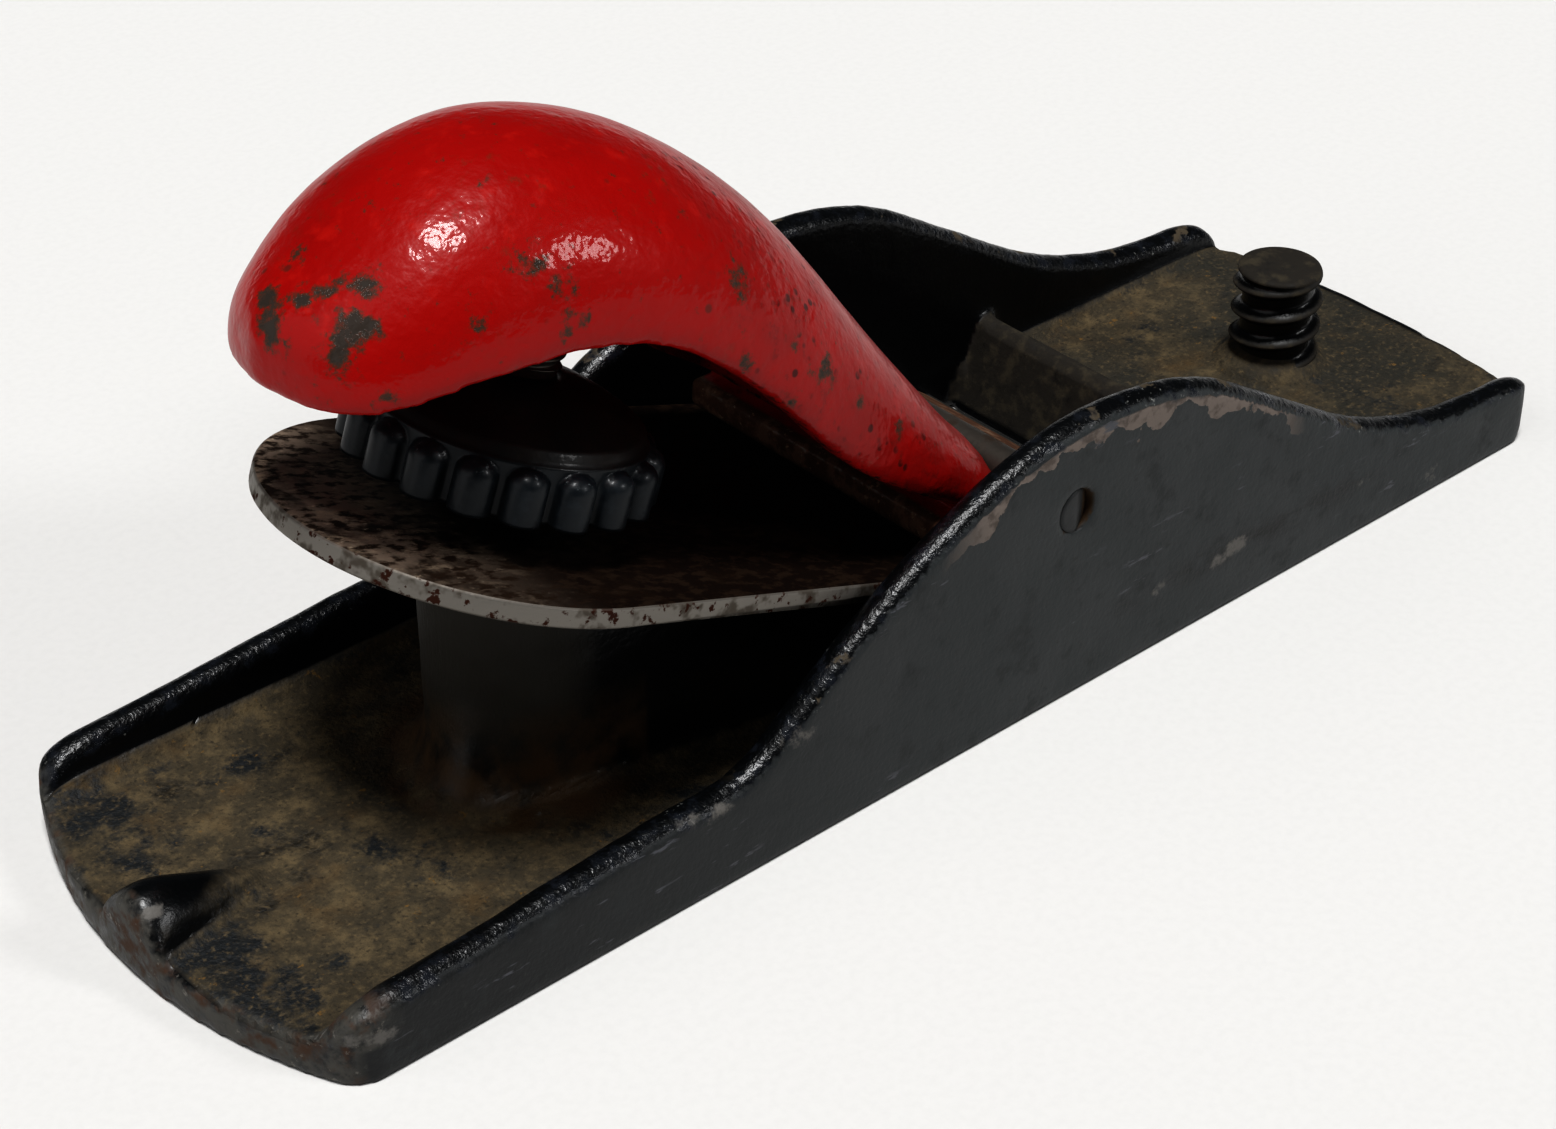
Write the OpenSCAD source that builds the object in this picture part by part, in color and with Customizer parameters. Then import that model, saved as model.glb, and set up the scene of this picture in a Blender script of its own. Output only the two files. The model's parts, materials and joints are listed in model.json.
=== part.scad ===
// Low-angle block plane: cast body, cross pin, cutter, palm-shaped lever cap and clamping wheel.
// +X points to the toe, +Y to the far wall, +Z up. The origin is on the sole, under the middle.

/* [Sole and walls] */
// Length over the heel and the toe
body_len = 140.0; // [132:0.1:150]
// Width over the two side walls
body_w = 42.6; // [41:0.1:48]
// How far the heel edge bows out at the middle
heel_bow = 5.3; // [3:0.1:8]
// How far the toe edge bows out at the middle
toe_bow = 2.3; // [2:0.1:6]
// Thickness of the sole
sole_t = 3.1; // [2.6:0.1:4]
// Thickness of the sole at the toe edge, where the floor rises
toe_edge_t = 4.1; // [3.2:0.1:5]
// Thickness of each side wall
wall_t = 3.0; // [2.4:0.1:3.2]
// Height of the walls at the heel
wall_heel_h = 6.4; // [5.5:0.1:8]
// Height of the walls just behind the hump
wall_waist_h = 9.0; // [8:0.1:11]
// Height of the walls at the top of the hump
hump_h = 26.1; // [25:0.1:30]
// Height of the walls at the toe
wall_toe_h = 6.5; // [5.5:0.1:8]
// Distance of the hump's rear foot from the middle, towards the heel
waist_back = 29.0; // [26:0.5:32]
// Distance of the hump's top from the middle, towards the toe
hump_ahead = 9.5; // [7:0.5:12]
// Radius of the sole's four corners
corner_r = 3.5; // [2:0.1:5]
// Radius of the fillet between the floor and the walls
floor_fillet = 2.4; // [1:0.1:3]

/* [Bed and mouth] */
// Angle between the bed and the sole
bed_angle = 20; // [18:0.5:21]
// Distance of the cutting edge from the middle, towards the toe
edge_ahead = 30.2; // [29:0.1:31]
// Height of the cutting edge over the sole's lower face
edge_up = 0.2; // [0.1:0.1:0.4]
// Gap in the mouth in front of the cutting edge
mouth_gap = 1.1; // [0.8:0.1:2]
// Height of the bridge in front of the mouth
bridge_h = 8.2; // [6.5:0.1:9]
// How far the rear face of the bridge leans forward over its height
bridge_lean = 2.9; // [1:0.1:4]
// Radius of the ridge on the bridge
ridge_r = 1.0; // [0.6:0.1:1.4]
// Length of the bridge's front slope on the floor
bridge_slope = 3.2; // [2:0.1:5]
// Radius of the rounded rear end of the bed rib
post_r = 7.0; // [6:0.1:8]
// Distance of that rear end's centre from the middle, towards the heel
post_back = 34.4; // [32:0.1:36]
// How far the flare spreads round the foot of that rear end
post_flare = 6.0; // [4:0.1:7]
// Height of that flare
post_flare_h = 12.0; // [5:0.5:14]
// Radius of the fillet along the sides of the bed rib
rib_fillet = 1.6; // [1:0.1:2.4]

/* [Heel tab] */
// Length of the pointed tab on the heel floor
tab_len = 12.3; // [9:0.1:14]
// Width of the tab at the heel edge
tab_w = 9.2; // [7:0.1:11]
// Height of the tab over the floor at the heel edge
tab_h = 6.0; // [4:0.1:8]

/* [Knob stud] */
// Distance of the stud from the middle, towards the toe
stud_ahead = 55.4; // [53:0.1:57]
// Diameter of the stud over its thread crests
stud_d = 8.5; // [7:0.1:10]
// Height of the stud's top over the sole
stud_top = 13.7; // [12:0.1:17]
// Diameter of the round top face of the stud
stud_face_d = 7.0; // [5.5:0.1:8]
// Radius of the flare round the stud's foot
stud_flare = 0.9; // [0.5:0.1:1.5]

/* [Cross pin] */
// Diameter of the pin that the cap pulls up against
pin_d = 3.6; // [3:0.1:4]
// Distance of the pin from the middle, towards the toe
pin_ahead = 6.0; // [5:0.1:8]
// Height of the pin's axis over the sole
pin_z = 18.1; // [17.8:0.1:18.6]
// How far each end of the pin lies under the wall's outer face
pin_recess = 0.8; // [0.3:0.1:1.2]

/* [Cutter] */
// Gap between each side of the cutter and the wall
cutter_gap = 0.85; // [0.6:0.05:2]
// Length of the cutter from its edge to the top of its round end
cutter_len = 88.6; // [84:0.1:92]
// Thickness of the cutter
cutter_t = 1.7; // [1.5:0.1:2.2]
// Angle ground on the upper side of the edge
grind_angle = 25; // [22:1:32]

/* [Lever cap] */
// Gap between each side of the cap's foot and the wall
cap_gap = 2.5; // [1.5:0.1:4]
// Distance from the pin back to the rear end of the palm
cap_reach = 60.7; // [58:0.1:63]
// Height of the palm's crown over the pin
cap_rise = 39.1; // [38:0.1:42]
// Thickness of the cap's shell
cap_wall = 3.0; // [2.5:0.1:3.5]
// Distance from the pin forward to the lip
lip_reach = 18.0; // [16:0.1:18.4]
// Thickness of the lip at its front
lip_t = 1.3; // [1:0.1:1.8]
// Distance from the pin back to the heel of the foot
foot_back = 9.6; // [8:0.1:11]
// Thickness of the foot at its heel
foot_t = 2.3; // [1.8:0.1:2.8]
// Gap under the heel of the foot when the cap is tight
heel_gap = 1.0; // [0.8:0.1:1.4]
// Diameter of the threaded boss under the crown
boss_d = 10.5; // [9.5:0.1:12]

/* [Wheel and screw] */
// Distance of the screw's foot from the middle, towards the heel
screw_back = 36.0; // [34:0.1:37]
// Diameter of the wheel over its lobes
wheel_d = 24.4; // [23:0.1:26]
// Number of lobes round the wheel
lobes = 18; // [14:1:20]
// Height of the wheel's rim, where the dome starts
rim_h = 4.6; // [4:0.1:5.5]
// Height of the wheel at its crown
wheel_h = 8.5; // [7.5:0.1:9.5]
// Height of the wheel over the cutter
wheel_lift = 3.3; // [3:0.1:4.5]
// Diameter of the screw
screw_d = 6.0; // [5:0.1:6.5]
// Lead of the screw's thread
screw_lead = 1.25; // [1:0.05:1.5]
// Turns of the wheel that free the cap
free_turns = 2; // [1:0.5:2]

/* [Fits] */
// Gap between flat faces that rest on each other
seat_gap = 0.05; // [0.03:0.01:0.1]
// Radial gap of the turning fits
turn_gap = 0.05; // [0.02:0.01:0.08]
// Gap beside the cutter in the mouth
side_gap = 0.45; // [0.3:0.05:0.5]

/* [Hidden] */
$fn = 64;

half_len = body_len / 2;
half_w = body_w / 2;
inner_w = half_w - wall_t;
cutter_w = 2 * (inner_w - cutter_gap);
cap_w = 2 * (inner_w - cap_gap);
past = 2;                       // how far a cutting solid runs past what it cuts
bed_short = 2;                  // how far the bed stops short of the cutting edge
seat_over = 0.15;               // how far the seat in the sole runs past each side of the slot
root_inset = 0.12;              // how far the root of the rib's fillet lies inside the rib
side_run = 30;                  // length of the rib's straight fillets, as far as the walls
heel_run = 12;                  // length of the nearly level stretch of each wall at the heel
wall_margin = 4;                // how far the toe's level stretch starts short of the end
bridge_rise = 8;                // where the floor's rise to the toe edge starts, past the bridge
lip_nose = 0.3;                 // how far the lip's upper edge runs past its lower edge
lip_flat = 5;                   // length of the lip that rests on the cutter
web_ahead = 1.6;                // metal of the foot in front of the pin
web_down = 2.2;                 // how far that metal's corner lies under the pin's axis
web_crest = 0.4;                // how far the foot's crest lies in front of the pin's axis
web_up = 0.6;                   // height of that crest over the pin's axis
step_back = 5.6;                // where the heel of the foot starts, behind the pin
step_up = 1.4;                  // height of the foot there over the thickness of its heel
heel_nose = 0.3;                // how far the heel's upper edge lies in front of its lower edge
boss_len = 16;                  // length of the boss, up into the crown
boss_over = 0.8;                // gap between the wheel and the boss when the cap is free
screw_in = 5.5;                 // length of thread in the boss
foot_r = 3.9;                   // radius of the screw's foot
foot_under = 0.4;               // gap between the screw's foot and the wheel
foot_dome = 0.6;                // height of the rounding of that foot
neck_step = 0.4;                // how far the screw's neck lies under its thread
neck_over = 0.2;                // how far the neck runs past the wheel
rim_ease = 0.8;                 // how far the dome starts inside the lobes
wall_steps = 54;
arc_steps = 6;

heel_r = (half_w * half_w + heel_bow * heel_bow) / (2 * heel_bow);
toe_r = (half_w * half_w + toe_bow * toe_bow) / (2 * toe_bow);

slope = tan(bed_angle);
cutter_top_t = cutter_t / cos(bed_angle);
bed_front = edge_ahead - bed_short;
bridge_x = edge_ahead + mouth_gap;
screw_hole_r = screw_d / 2 + turn_gap;
pin_hole_r = pin_d / 2 + 0.02;
free_travel = screw_lead * free_turns;

// Height of the cutter's upper face over the sole at x
function cutter_top(x) = edge_up + (edge_ahead - x) * slope + cutter_top_t;

// Cubic curve through rows of [x, value, value, ...], read at x
function row_slope(rows, i) =
    let (a = max(i - 1, 0), b = min(i + 1, len(rows) - 1))
    (rows[b] - rows[a]) / (rows[b][0] - rows[a][0]);
function row_before(rows, x, i = 0) =
    (i >= len(rows) - 2 || x < rows[i + 1][0]) ? i : row_before(rows, x, i + 1);
function curve_at(rows, x) =
    let (
        i = row_before(rows, x),
        run = rows[i + 1][0] - rows[i][0],
        t = (x - rows[i][0]) / run,
        t2 = t * t,
        t3 = t2 * t
    )
    (2 * t3 - 3 * t2 + 1) * rows[i] + (t3 - 2 * t2 + t) * run * row_slope(rows, i)
    + (3 * t2 - 2 * t3) * rows[i + 1] + (t3 - t2) * run * row_slope(rows, i + 1);

// Solid through rings of points: each ring runs clockwise, looking from the first ring to the last
module loft(rings) {
    n = len(rings[0]);
    last = len(rings) - 1;
    sides = [
        for (i = [0:last - 1], k = [0:n - 1])
            let (a = i * n + k, b = i * n + (k + 1) % n)
            each [[a, b + n, b], [a, a + n, b + n]]
    ];
    polyhedron(
        points = [for (ring = rings) each ring],
        faces = concat([[for (k = [0:n - 1]) k]], sides, [[for (k = [n - 1:-1:0]) last * n + k]]),
        convexity = 8
    );
}

// Frame of the cutter: origin on the cutting edge, +X down the slope, +Z square to the bed
module on_bed() {
    translate([edge_ahead, 0, edge_up]) rotate([0, bed_angle, 0]) children();
}

// Frame of the screw: origin on the cutter's upper face, +Z along the screw
module on_screw() {
    translate([-screw_back, 0, cutter_top(-screw_back)]) rotate([0, bed_angle, 0]) children();
}

// Side profile of the walls: a low heel, a long hump and a low toe
hump_rear = waist_back + hump_ahead;
hump_front = half_len - wall_margin - hump_ahead;
over_waist = hump_h - wall_waist_h;
over_toe = hump_h - wall_toe_h;
wall_rows = [
    [-half_len - past, wall_heel_h],
    [-half_len + heel_run, wall_heel_h + 0.4],
    [-waist_back - 7, wall_waist_h - 0.6],
    [-waist_back + 0.03 * hump_rear, wall_waist_h],
    [-waist_back + 0.27 * hump_rear, wall_waist_h + 0.38 * over_waist],
    [-waist_back + 0.53 * hump_rear, wall_waist_h + 0.72 * over_waist],
    [-waist_back + 0.79 * hump_rear, wall_waist_h + 0.95 * over_waist],
    [hump_ahead, hump_h],
    [hump_ahead + 0.20 * hump_front, wall_toe_h + 0.89 * over_toe],
    [hump_ahead + 0.39 * hump_front, wall_toe_h + 0.58 * over_toe],
    [hump_ahead + 0.60 * hump_front, wall_toe_h + 0.23 * over_toe],
    [hump_ahead + 0.82 * hump_front, wall_toe_h + 0.04 * over_toe],
    [half_len + past, wall_toe_h]
];

// Cross-section of one wall at x: flat outside, full round top, fillet to the floor inside
function wall_ring(x) =
    let (
        h = curve_at(wall_rows, x)[1],
        r = wall_t / 2,
        mid = half_w - r,
        f = floor_fillet
    )
    concat(
        [[x, half_w + 1, -past], [x, half_w + 1, h - r]],
        [for (k = [0:2 * arc_steps])
            let (a = 90 * k / arc_steps)
            [x, mid + r * cos(a), h - r + r * sin(a)]],
        [for (k = [0:arc_steps])
            let (a = 96 * k / arc_steps)
            [x, inner_w - f + f * cos(a), sole_t + f - f * sin(a)]],
        [[x, inner_w - f - 0.2, -past]]
    );

module wall() {
    start = -half_len - past / 2;
    step = (2 * half_len + past) / wall_steps;
    loft([for (i = [0:wall_steps]) wall_ring(start + i * step)]);
}

// Near half of one end of the outline: the bow from the middle out, then the round corner.
// The end is at half_len * side.
function end_points(arc_r, side) =
    let (
        bow_x = half_len - arc_r,
        corner_y = half_w - corner_r,
        corner_x = bow_x + sqrt((arc_r - corner_r) ^ 2 - corner_y ^ 2),
        meet = asin(corner_y / (arc_r - corner_r))
    )
    concat(
        [for (k = [0:6]) let (a = meet * k / 6) [side * (bow_x + arc_r * cos(a)), -arc_r * sin(a)]],
        [for (k = [1:6])
            let (a = meet + (90 - meet) * k / 6)
            [side * (corner_x + corner_r * cos(a)), -corner_y - corner_r * sin(a)]]
    );
function reversed(list) = [for (i = [len(list) - 1:-1:0]) list[i]];

// Outline of the sole seen from above, with bowed ends and round corners
module sole_outline(high) {
    heel = end_points(heel_r, -1);
    toe = end_points(toe_r, 1);
    near = concat(heel, reversed(toe));
    far = [for (i = [len(near) - 2:-1:1]) [near[i][0], -near[i][1]]];
    linear_extrude(high) polygon(concat(near, far));
}

// Flat sole, with a floor that rises a little to the toe edge
module sole_slab() {
    rotate([90, 0, 0])
        linear_extrude(2 * (inner_w + wall_t / 2), center = true)
            polygon([
                [-half_len - past, -past],
                [half_len + past, -past],
                [half_len + past, toe_edge_t],
                [bridge_x + bridge_rise, sole_t],
                [-half_len - past, sole_t]
            ]);
}

// Half width of the bed rib at x, and the angle of its sides
rib_front_w = inner_w + wall_t / 2;
rib_angle = atan((rib_front_w - post_r) / (bed_front + post_back));
rib_high = (edge_ahead + post_back + post_r) * slope + 1;

// Outline of the rib: at share 0 on the near side of the mouth, round the rear end, to 1 on the far side
function rib_point(a, reach) =
    [-post_back - reach * cos(a), reach * sin(a)];

// Foot of the rib: a fillet along the sides that grows into a wide flare round the rear end
module rib_foot() {
    turn = 90 - rib_angle;
    root_r = post_r - root_inset;
    side_steps = 4;
    angles = [for (k = [-14:14]) turn * k / 14];
    flare_rows = [[-turn, 0], [-52, 0.1], [-27, 1], [10, 0.45], [60, 0.35], [turn, 0]];
    function share(a) = curve_at(flare_rows, a)[1];
    function foot_ring(base, a, wide, high) =
        concat(
            [[base[0] - wide * cos(a), base[1] + wide * sin(a), sole_t - 1]],
            [for (k = [arc_steps:-1:0])
                let (b = 90 * k / arc_steps, out = wide * (1 - cos(b)), up = high * (1 - sin(b)))
                [base[0] - out * cos(a), base[1] + out * sin(a), sole_t - 0.1 + up]],
            [[base[0] + 2 * cos(a), base[1] - 2 * sin(a), sole_t + high - 0.1]],
            [[base[0] + 2 * cos(a), base[1] - 2 * sin(a), sole_t - 1]]
        );
    function flare_ring(a) =
        let (s = share(a))
        foot_ring(rib_point(a, root_r), a, rib_fillet + (post_flare - rib_fillet) * s,
            rib_fillet + (post_flare_h - rib_fillet) * s);
    function side_base(s, side) =
        let (p = rib_point(side * turn, root_r))
        [p[0] + s * cos(rib_angle), p[1] + side * s * sin(rib_angle)];
    function side_ring(i, side) =
        let (size = i == side_steps ? 0.05 : rib_fillet)
        foot_ring(side_base(side_run * i / side_steps, side), side * turn, size, size);
    near = [for (i = [side_steps:-1:1]) side_ring(i, -1)];
    round_end = [for (a = angles) flare_ring(a)];
    far = [for (i = [1:side_steps]) side_ring(i, 1)];
    loft(concat(near, round_end, far));
}

// Rib that carries the cutter: wide at the mouth, narrowing to a round post at the rear
module bed_rib() {
    tangent = [post_r * sin(rib_angle), post_r * cos(rib_angle)];
    difference() {
        union() {
            linear_extrude(rib_high)
                polygon([
                    [-post_back - tangent[0], -tangent[1]],
                    [bed_front, -rib_front_w],
                    [bed_front, rib_front_w],
                    [-post_back - tangent[0], tangent[1]]
                ]);
            translate([-post_back, 0, 0]) cylinder(r = post_r, h = rib_high);
        }
        on_bed() translate([-2 * body_len, -body_w, -seat_gap]) cube([3 * body_len, 2 * body_w, body_len]);
    }
}

// Raised rib across the sole in front of the mouth, with a rounded ridge
module bridge() {
    top_x = bridge_x + bridge_lean + ridge_r;
    rotate([90, 0, 0])
        linear_extrude(2 * (inner_w + wall_t / 2), center = true)
            union() {
                polygon([
                    [bridge_x, 0],
                    [top_x + bridge_slope + 1.5, 0],
                    [top_x + bridge_slope, sole_t],
                    [top_x + ridge_r * cos(25), bridge_h - ridge_r + ridge_r * sin(25)],
                    [top_x - ridge_r * cos(18), bridge_h - ridge_r + ridge_r * sin(18)]
                ]);
                translate([top_x, bridge_h - ridge_r]) circle(r = ridge_r, $fn = 32);
            }
}

// Pointed tab on the heel floor, tallest at the heel edge
module heel_tab() {
    steps = 10;
    rise = 10;
    function tab_ring(u) =
        let (
            x = -half_len + tab_len * (1 - u) - past * u,
            w = max(tab_w / 2 * pow(u, 0.6), 0.1),
            h = max(tab_h * pow(u, 0.8), 0.1)
        )
        concat(
            [[x, w, sole_t - 1]],
            [for (k = [0:rise])
                let (a = 180 * k / rise)
                [x, w * cos(a) * (1 - 0.25 * sin(a)), sole_t - 0.1 + h * pow(sin(a), 0.9)]],
            [[x, -w, sole_t - 1]]
        );
    loft([for (i = [steps:-1:0]) tab_ring(i / steps)]);
}

// Upright stud for a front knob: crest cylinder, chamfered to its flat top, with a small flare
module knob_stud() {
    r = stud_d / 2;
    chamfer = (stud_d - stud_face_d) / 2;
    translate([stud_ahead, 0, 0]) {
        translate([0, 0, 1]) cylinder(r = r, h = stud_top - chamfer - 1);
        translate([0, 0, stud_top - chamfer]) cylinder(r1 = r, r2 = r - chamfer, h = chamfer);
        rotate_extrude()
            difference() {
                translate([0, 1]) square([r + stud_flare, toe_edge_t - 1 + stud_flare]);
                translate([r + stud_flare, toe_edge_t + stud_flare]) circle(r = stud_flare, $fn = 32);
            }
    }
}

module plane_body() {
    slot_w = cutter_w + 2 * side_gap;
    seat_w = slot_w + 2 * seat_over;
    seat_run = (sole_t + floor_fillet) / sin(bed_angle);   // stretch of the bed that lies in the sole
    color([0.07, 0.08, 0.09])
        difference() {
            intersection() {
                union() {
                    sole_slab();
                    wall();
                    mirror([0, 1, 0]) wall();
                    bed_rib();
                    rib_foot();
                    bridge();
                    heel_tab();
                    knob_stud();
                }
                sole_outline(hump_h + 10);
            }
            translate([bed_front, -slot_w / 2, -past])
                cube([bridge_x - bed_front, slot_w, sole_t + past]);
            on_bed() translate([-seat_run, -seat_w / 2, -seat_gap]) cube([seat_run, seat_w, seat_run]);
            translate([pin_ahead, 0, pin_z]) rotate([90, 0, 0])
                cylinder(r = pin_hole_r, h = body_w + past, center = true);
        }
}

module fulcrum_pin() {
    color([0.45, 0.44, 0.42])
        translate([pin_ahead, 0, pin_z]) rotate([90, 0, 0])
            cylinder(r = pin_d / 2, h = body_w - 2 * pin_recess, center = true);
}

// Flat blade with a round rear end, ground on its upper side
module cutter() {
    r = cutter_w / 2;
    color([0.33, 0.29, 0.26])
        on_bed()
            difference() {
                union() {
                    translate([r - cutter_len, -r, 0]) cube([cutter_len - r, cutter_w, cutter_t]);
                    translate([r - cutter_len, 0, 0]) cylinder(r = r, h = cutter_t, $fn = 128);
                }
                rotate([0, grind_angle, 0])
                    translate([-body_w, -body_w, 0]) cube([2 * body_w, 2 * body_w, body_w]);
            }
}

// Shape of the cap in shares: place from the rear end to the pin, crown and rim over the pin as shares
// of the rise, and half width as a share of the foot's
cap_shape = [
    [0.000, 0.750, 0.660, 0.03],
    [0.022, 0.800, 0.650, 0.33],
    [0.075, 0.850, 0.653, 0.57],
    [0.175, 0.950, 0.680, 0.72],
    [0.310, 1.000, 0.680, 0.80],
    [0.440, 0.965, 0.620, 0.87],
    [0.570, 0.860, 0.445, 0.93],
    [0.700, 0.680, 0.215, 0.96],
    [0.835, 0.385, 0.055, 0.96],
    [0.965, 0.105, -0.060, 0.98],
    [1.020, 0.020, -0.090, 0.99]
];
cap_rear = pin_ahead - cap_reach;
cap_section = 2.1;              // 2 would make each section a half ellipse

// Half section of the cap at share u, drawn in by a wall thickness and run down past the rim
function cap_ring(u, inset, drop, n) =
    let (
        row = curve_at(cap_shape, u),
        x = cap_rear + u * cap_reach,
        rim = pin_z + row[2] * cap_rise - drop,
        w = max(row[3] * cap_w / 2 - inset, 0.15),
        high = max(pin_z + row[1] * cap_rise - inset - rim, 0.3)
    )
    [for (k = [0:n])
        let (a = 180 * k / n, bulge = 2 / cap_section)
        [x, w * sign(cos(a)) * pow(abs(cos(a)), bulge), rim + high * pow(sin(a), bulge)]];

module cap_shell() {
    n = 24;
    rear = [for (i = [0:8]) 0.075 * pow(i / 8, 1.6)];
    rest = [for (i = [1:26]) 0.075 + (1.0 - 0.075) * i / 26];
    loft([for (u = concat(rear, rest)) cap_ring(u, 0, 0, n)]);
}

// Hollow under the palm and the arm
module cap_hollow() {
    n = 16;
    first = 0.065;
    last = 0.83;
    loft([for (i = [0:24]) cap_ring(first + (last - first) * i / 24, cap_wall, past, n)]);
}

// Foot between the cutter and the pin: touches the cutter at its lip only
module cap_foot() {
    lip_x = pin_ahead + lip_reach;
    heel_x = pin_ahead - foot_back;
    rotate([90, 0, 0])
        linear_extrude(cap_w * 0.97, center = true)
            polygon([
                [lip_x, cutter_top(lip_x) + seat_gap],
                [lip_x + lip_nose, cutter_top(lip_x) + lip_t],
                [pin_ahead + pin_d / 2 + web_ahead, pin_z - web_down],
                [pin_ahead + web_crest, pin_z + web_up],
                [pin_ahead - step_back, cutter_top(pin_ahead - step_back) + heel_gap + foot_t + step_up],
                [heel_x + heel_nose, cutter_top(heel_x) + heel_gap + foot_t],
                [heel_x, cutter_top(heel_x) + heel_gap],
                [lip_x - lip_flat, cutter_top(lip_x - lip_flat) + seat_gap]
            ]);
}

// Boss for the screw, from above the wheel up into the crown
boss_low = wheel_lift + wheel_h + free_travel + boss_over;

module cap_boss() {
    intersection() {
        on_screw() translate([0, 0, boss_low]) cylinder(d = boss_d, h = boss_len);
        cap_shell();
    }
}

module lever_cap() {
    color([0.72, 0.06, 0.05])
        difference() {
            union() {
                difference() {
                    cap_shell();
                    cap_hollow();
                }
                cap_boss();
                cap_foot();
            }
            translate([pin_ahead, 0, pin_z]) rotate([90, 0, 0])
                cylinder(r = pin_d / 2 + turn_gap, h = body_w, center = true);
            on_screw() translate([0, 0, boss_low - 1])
                cylinder(r = screw_hole_r, h = screw_top + free_travel + 1.5 - boss_low);
        }
}

// Screw: a foot on the cutter, a plain neck for the wheel and a thread that runs in the boss
screw_top = boss_low + screw_in;
foot_h = wheel_lift - foot_under;
neck_top = wheel_lift + wheel_h + neck_over;
neck_r = screw_d / 2 - neck_step;

module clamp_screw() {
    color([0.5, 0.49, 0.47])
        on_screw() {
            translate([0, 0, seat_gap]) cylinder(r1 = foot_r - foot_dome, r2 = foot_r, h = foot_dome);
            translate([0, 0, seat_gap + foot_dome]) cylinder(r = foot_r, h = foot_h - foot_dome);
            cylinder_from(foot_h, neck_top, neck_r);
            cylinder_from(neck_top, screw_top, screw_d / 2);
        }
}

module cylinder_from(low, high, r) {
    translate([0, 0, low]) cylinder(r = r, h = high - low);
}

// Wheel with a lobed rim under a low dome
module thumb_wheel() {
    r = wheel_d / 2;
    lobe_r = 0.92 * PI * r / lobes;
    core_r = r - 0.9 * lobe_r;
    dome_base_r = r - rim_ease;
    rise = wheel_h - rim_h;
    dome_r = (dome_base_r * dome_base_r + rise * rise) / (2 * rise);
    color([0.03, 0.03, 0.04])
        on_screw() translate([0, 0, wheel_lift])
            difference() {
                intersection() {
                    union() {
                        cylinder(r = core_r, h = wheel_h, $fn = 96);
                        for (k = [0:lobes - 1])
                            rotate([0, 0, 360 * k / lobes])
                                translate([r - lobe_r, 0, 0]) cylinder(r = lobe_r, h = wheel_h, $fn = 24);
                    }
                    translate([0, 0, wheel_h - dome_r]) sphere(r = dome_r, $fn = 128);
                }
                translate([0, 0, -past]) cylinder(r = neck_r + turn_gap, h = wheel_h + 2 * past);
            }
}

plane_body();
fulcrum_pin();
cutter();
lever_cap();
clamp_screw();
thumb_wheel();
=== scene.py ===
"""Looks of a low-angle block plane: japanned casting, steel cutter, enamelled lever cap and lobed wheel."""

import json
import math

import bmesh
import bpy
import numpy as np
from bpy.props import FloatProperty, FloatVectorProperty, IntProperty, PointerProperty, StringProperty
from bpy.types import Operator, Panel, PropertyGroup
from mathutils import Matrix, Vector, noise


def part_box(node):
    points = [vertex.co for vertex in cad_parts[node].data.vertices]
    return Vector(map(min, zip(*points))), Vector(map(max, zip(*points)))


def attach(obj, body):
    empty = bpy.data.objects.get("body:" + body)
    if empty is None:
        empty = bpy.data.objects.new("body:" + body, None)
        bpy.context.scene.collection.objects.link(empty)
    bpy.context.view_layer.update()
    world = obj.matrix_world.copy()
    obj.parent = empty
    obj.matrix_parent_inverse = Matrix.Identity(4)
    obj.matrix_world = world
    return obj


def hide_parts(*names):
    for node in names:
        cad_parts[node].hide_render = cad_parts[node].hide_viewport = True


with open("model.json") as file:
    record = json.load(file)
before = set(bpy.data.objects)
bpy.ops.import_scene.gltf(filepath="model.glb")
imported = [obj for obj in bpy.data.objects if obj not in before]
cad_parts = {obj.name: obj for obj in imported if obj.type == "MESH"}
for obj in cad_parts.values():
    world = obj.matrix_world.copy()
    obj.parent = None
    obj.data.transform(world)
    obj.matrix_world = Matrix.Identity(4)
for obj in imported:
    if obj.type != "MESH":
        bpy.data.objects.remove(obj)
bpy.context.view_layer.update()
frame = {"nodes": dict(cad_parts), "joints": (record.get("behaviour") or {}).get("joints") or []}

bl_info = {
    "name": "Low-angle block plane",
    "version": (1, 0, 0),
    "blender": (4, 5, 0),
    "location": "View3D > Sidebar > Block plane",
    "description": "Dresses the block plane's solids in cast, enamelled and worn steel surfaces",
    "category": "Object",
}

MM = 0.001
WELD = 0.000002
JOINTS = {joint["name"]: joint for joint in frame["joints"]}
SCREW_AXIS = Vector(JOINTS["wheel_turn"]["axis"])
DOWN_BED = Vector((SCREW_AXIS.z, 0, -SCREW_AXIS.x))
SCREW_POINT = Vector(JOINTS["wheel_turn"]["pos_m"]) / MM
PIN_POINT = Vector(JOINTS["cap_tilt"]["pos_m"]) / MM
# places on the casting, in millimetres
STUD_X, STUD_R, STUD_TOP = 55.4, 4.25, 13.7
POST_X, FLOOR_Z, HEEL_X = -34.4, 3.3, -70
# the cutter's lower edge and its thickness, and the thumb wheel's height and how far it is over the cutter
CUTTER_EDGE, CUTTER_T = np.array([30.2, 0, 0.2]), 1.7
WHEEL_H, WHEEL_LIFT = 8.5, 3.3


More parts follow.
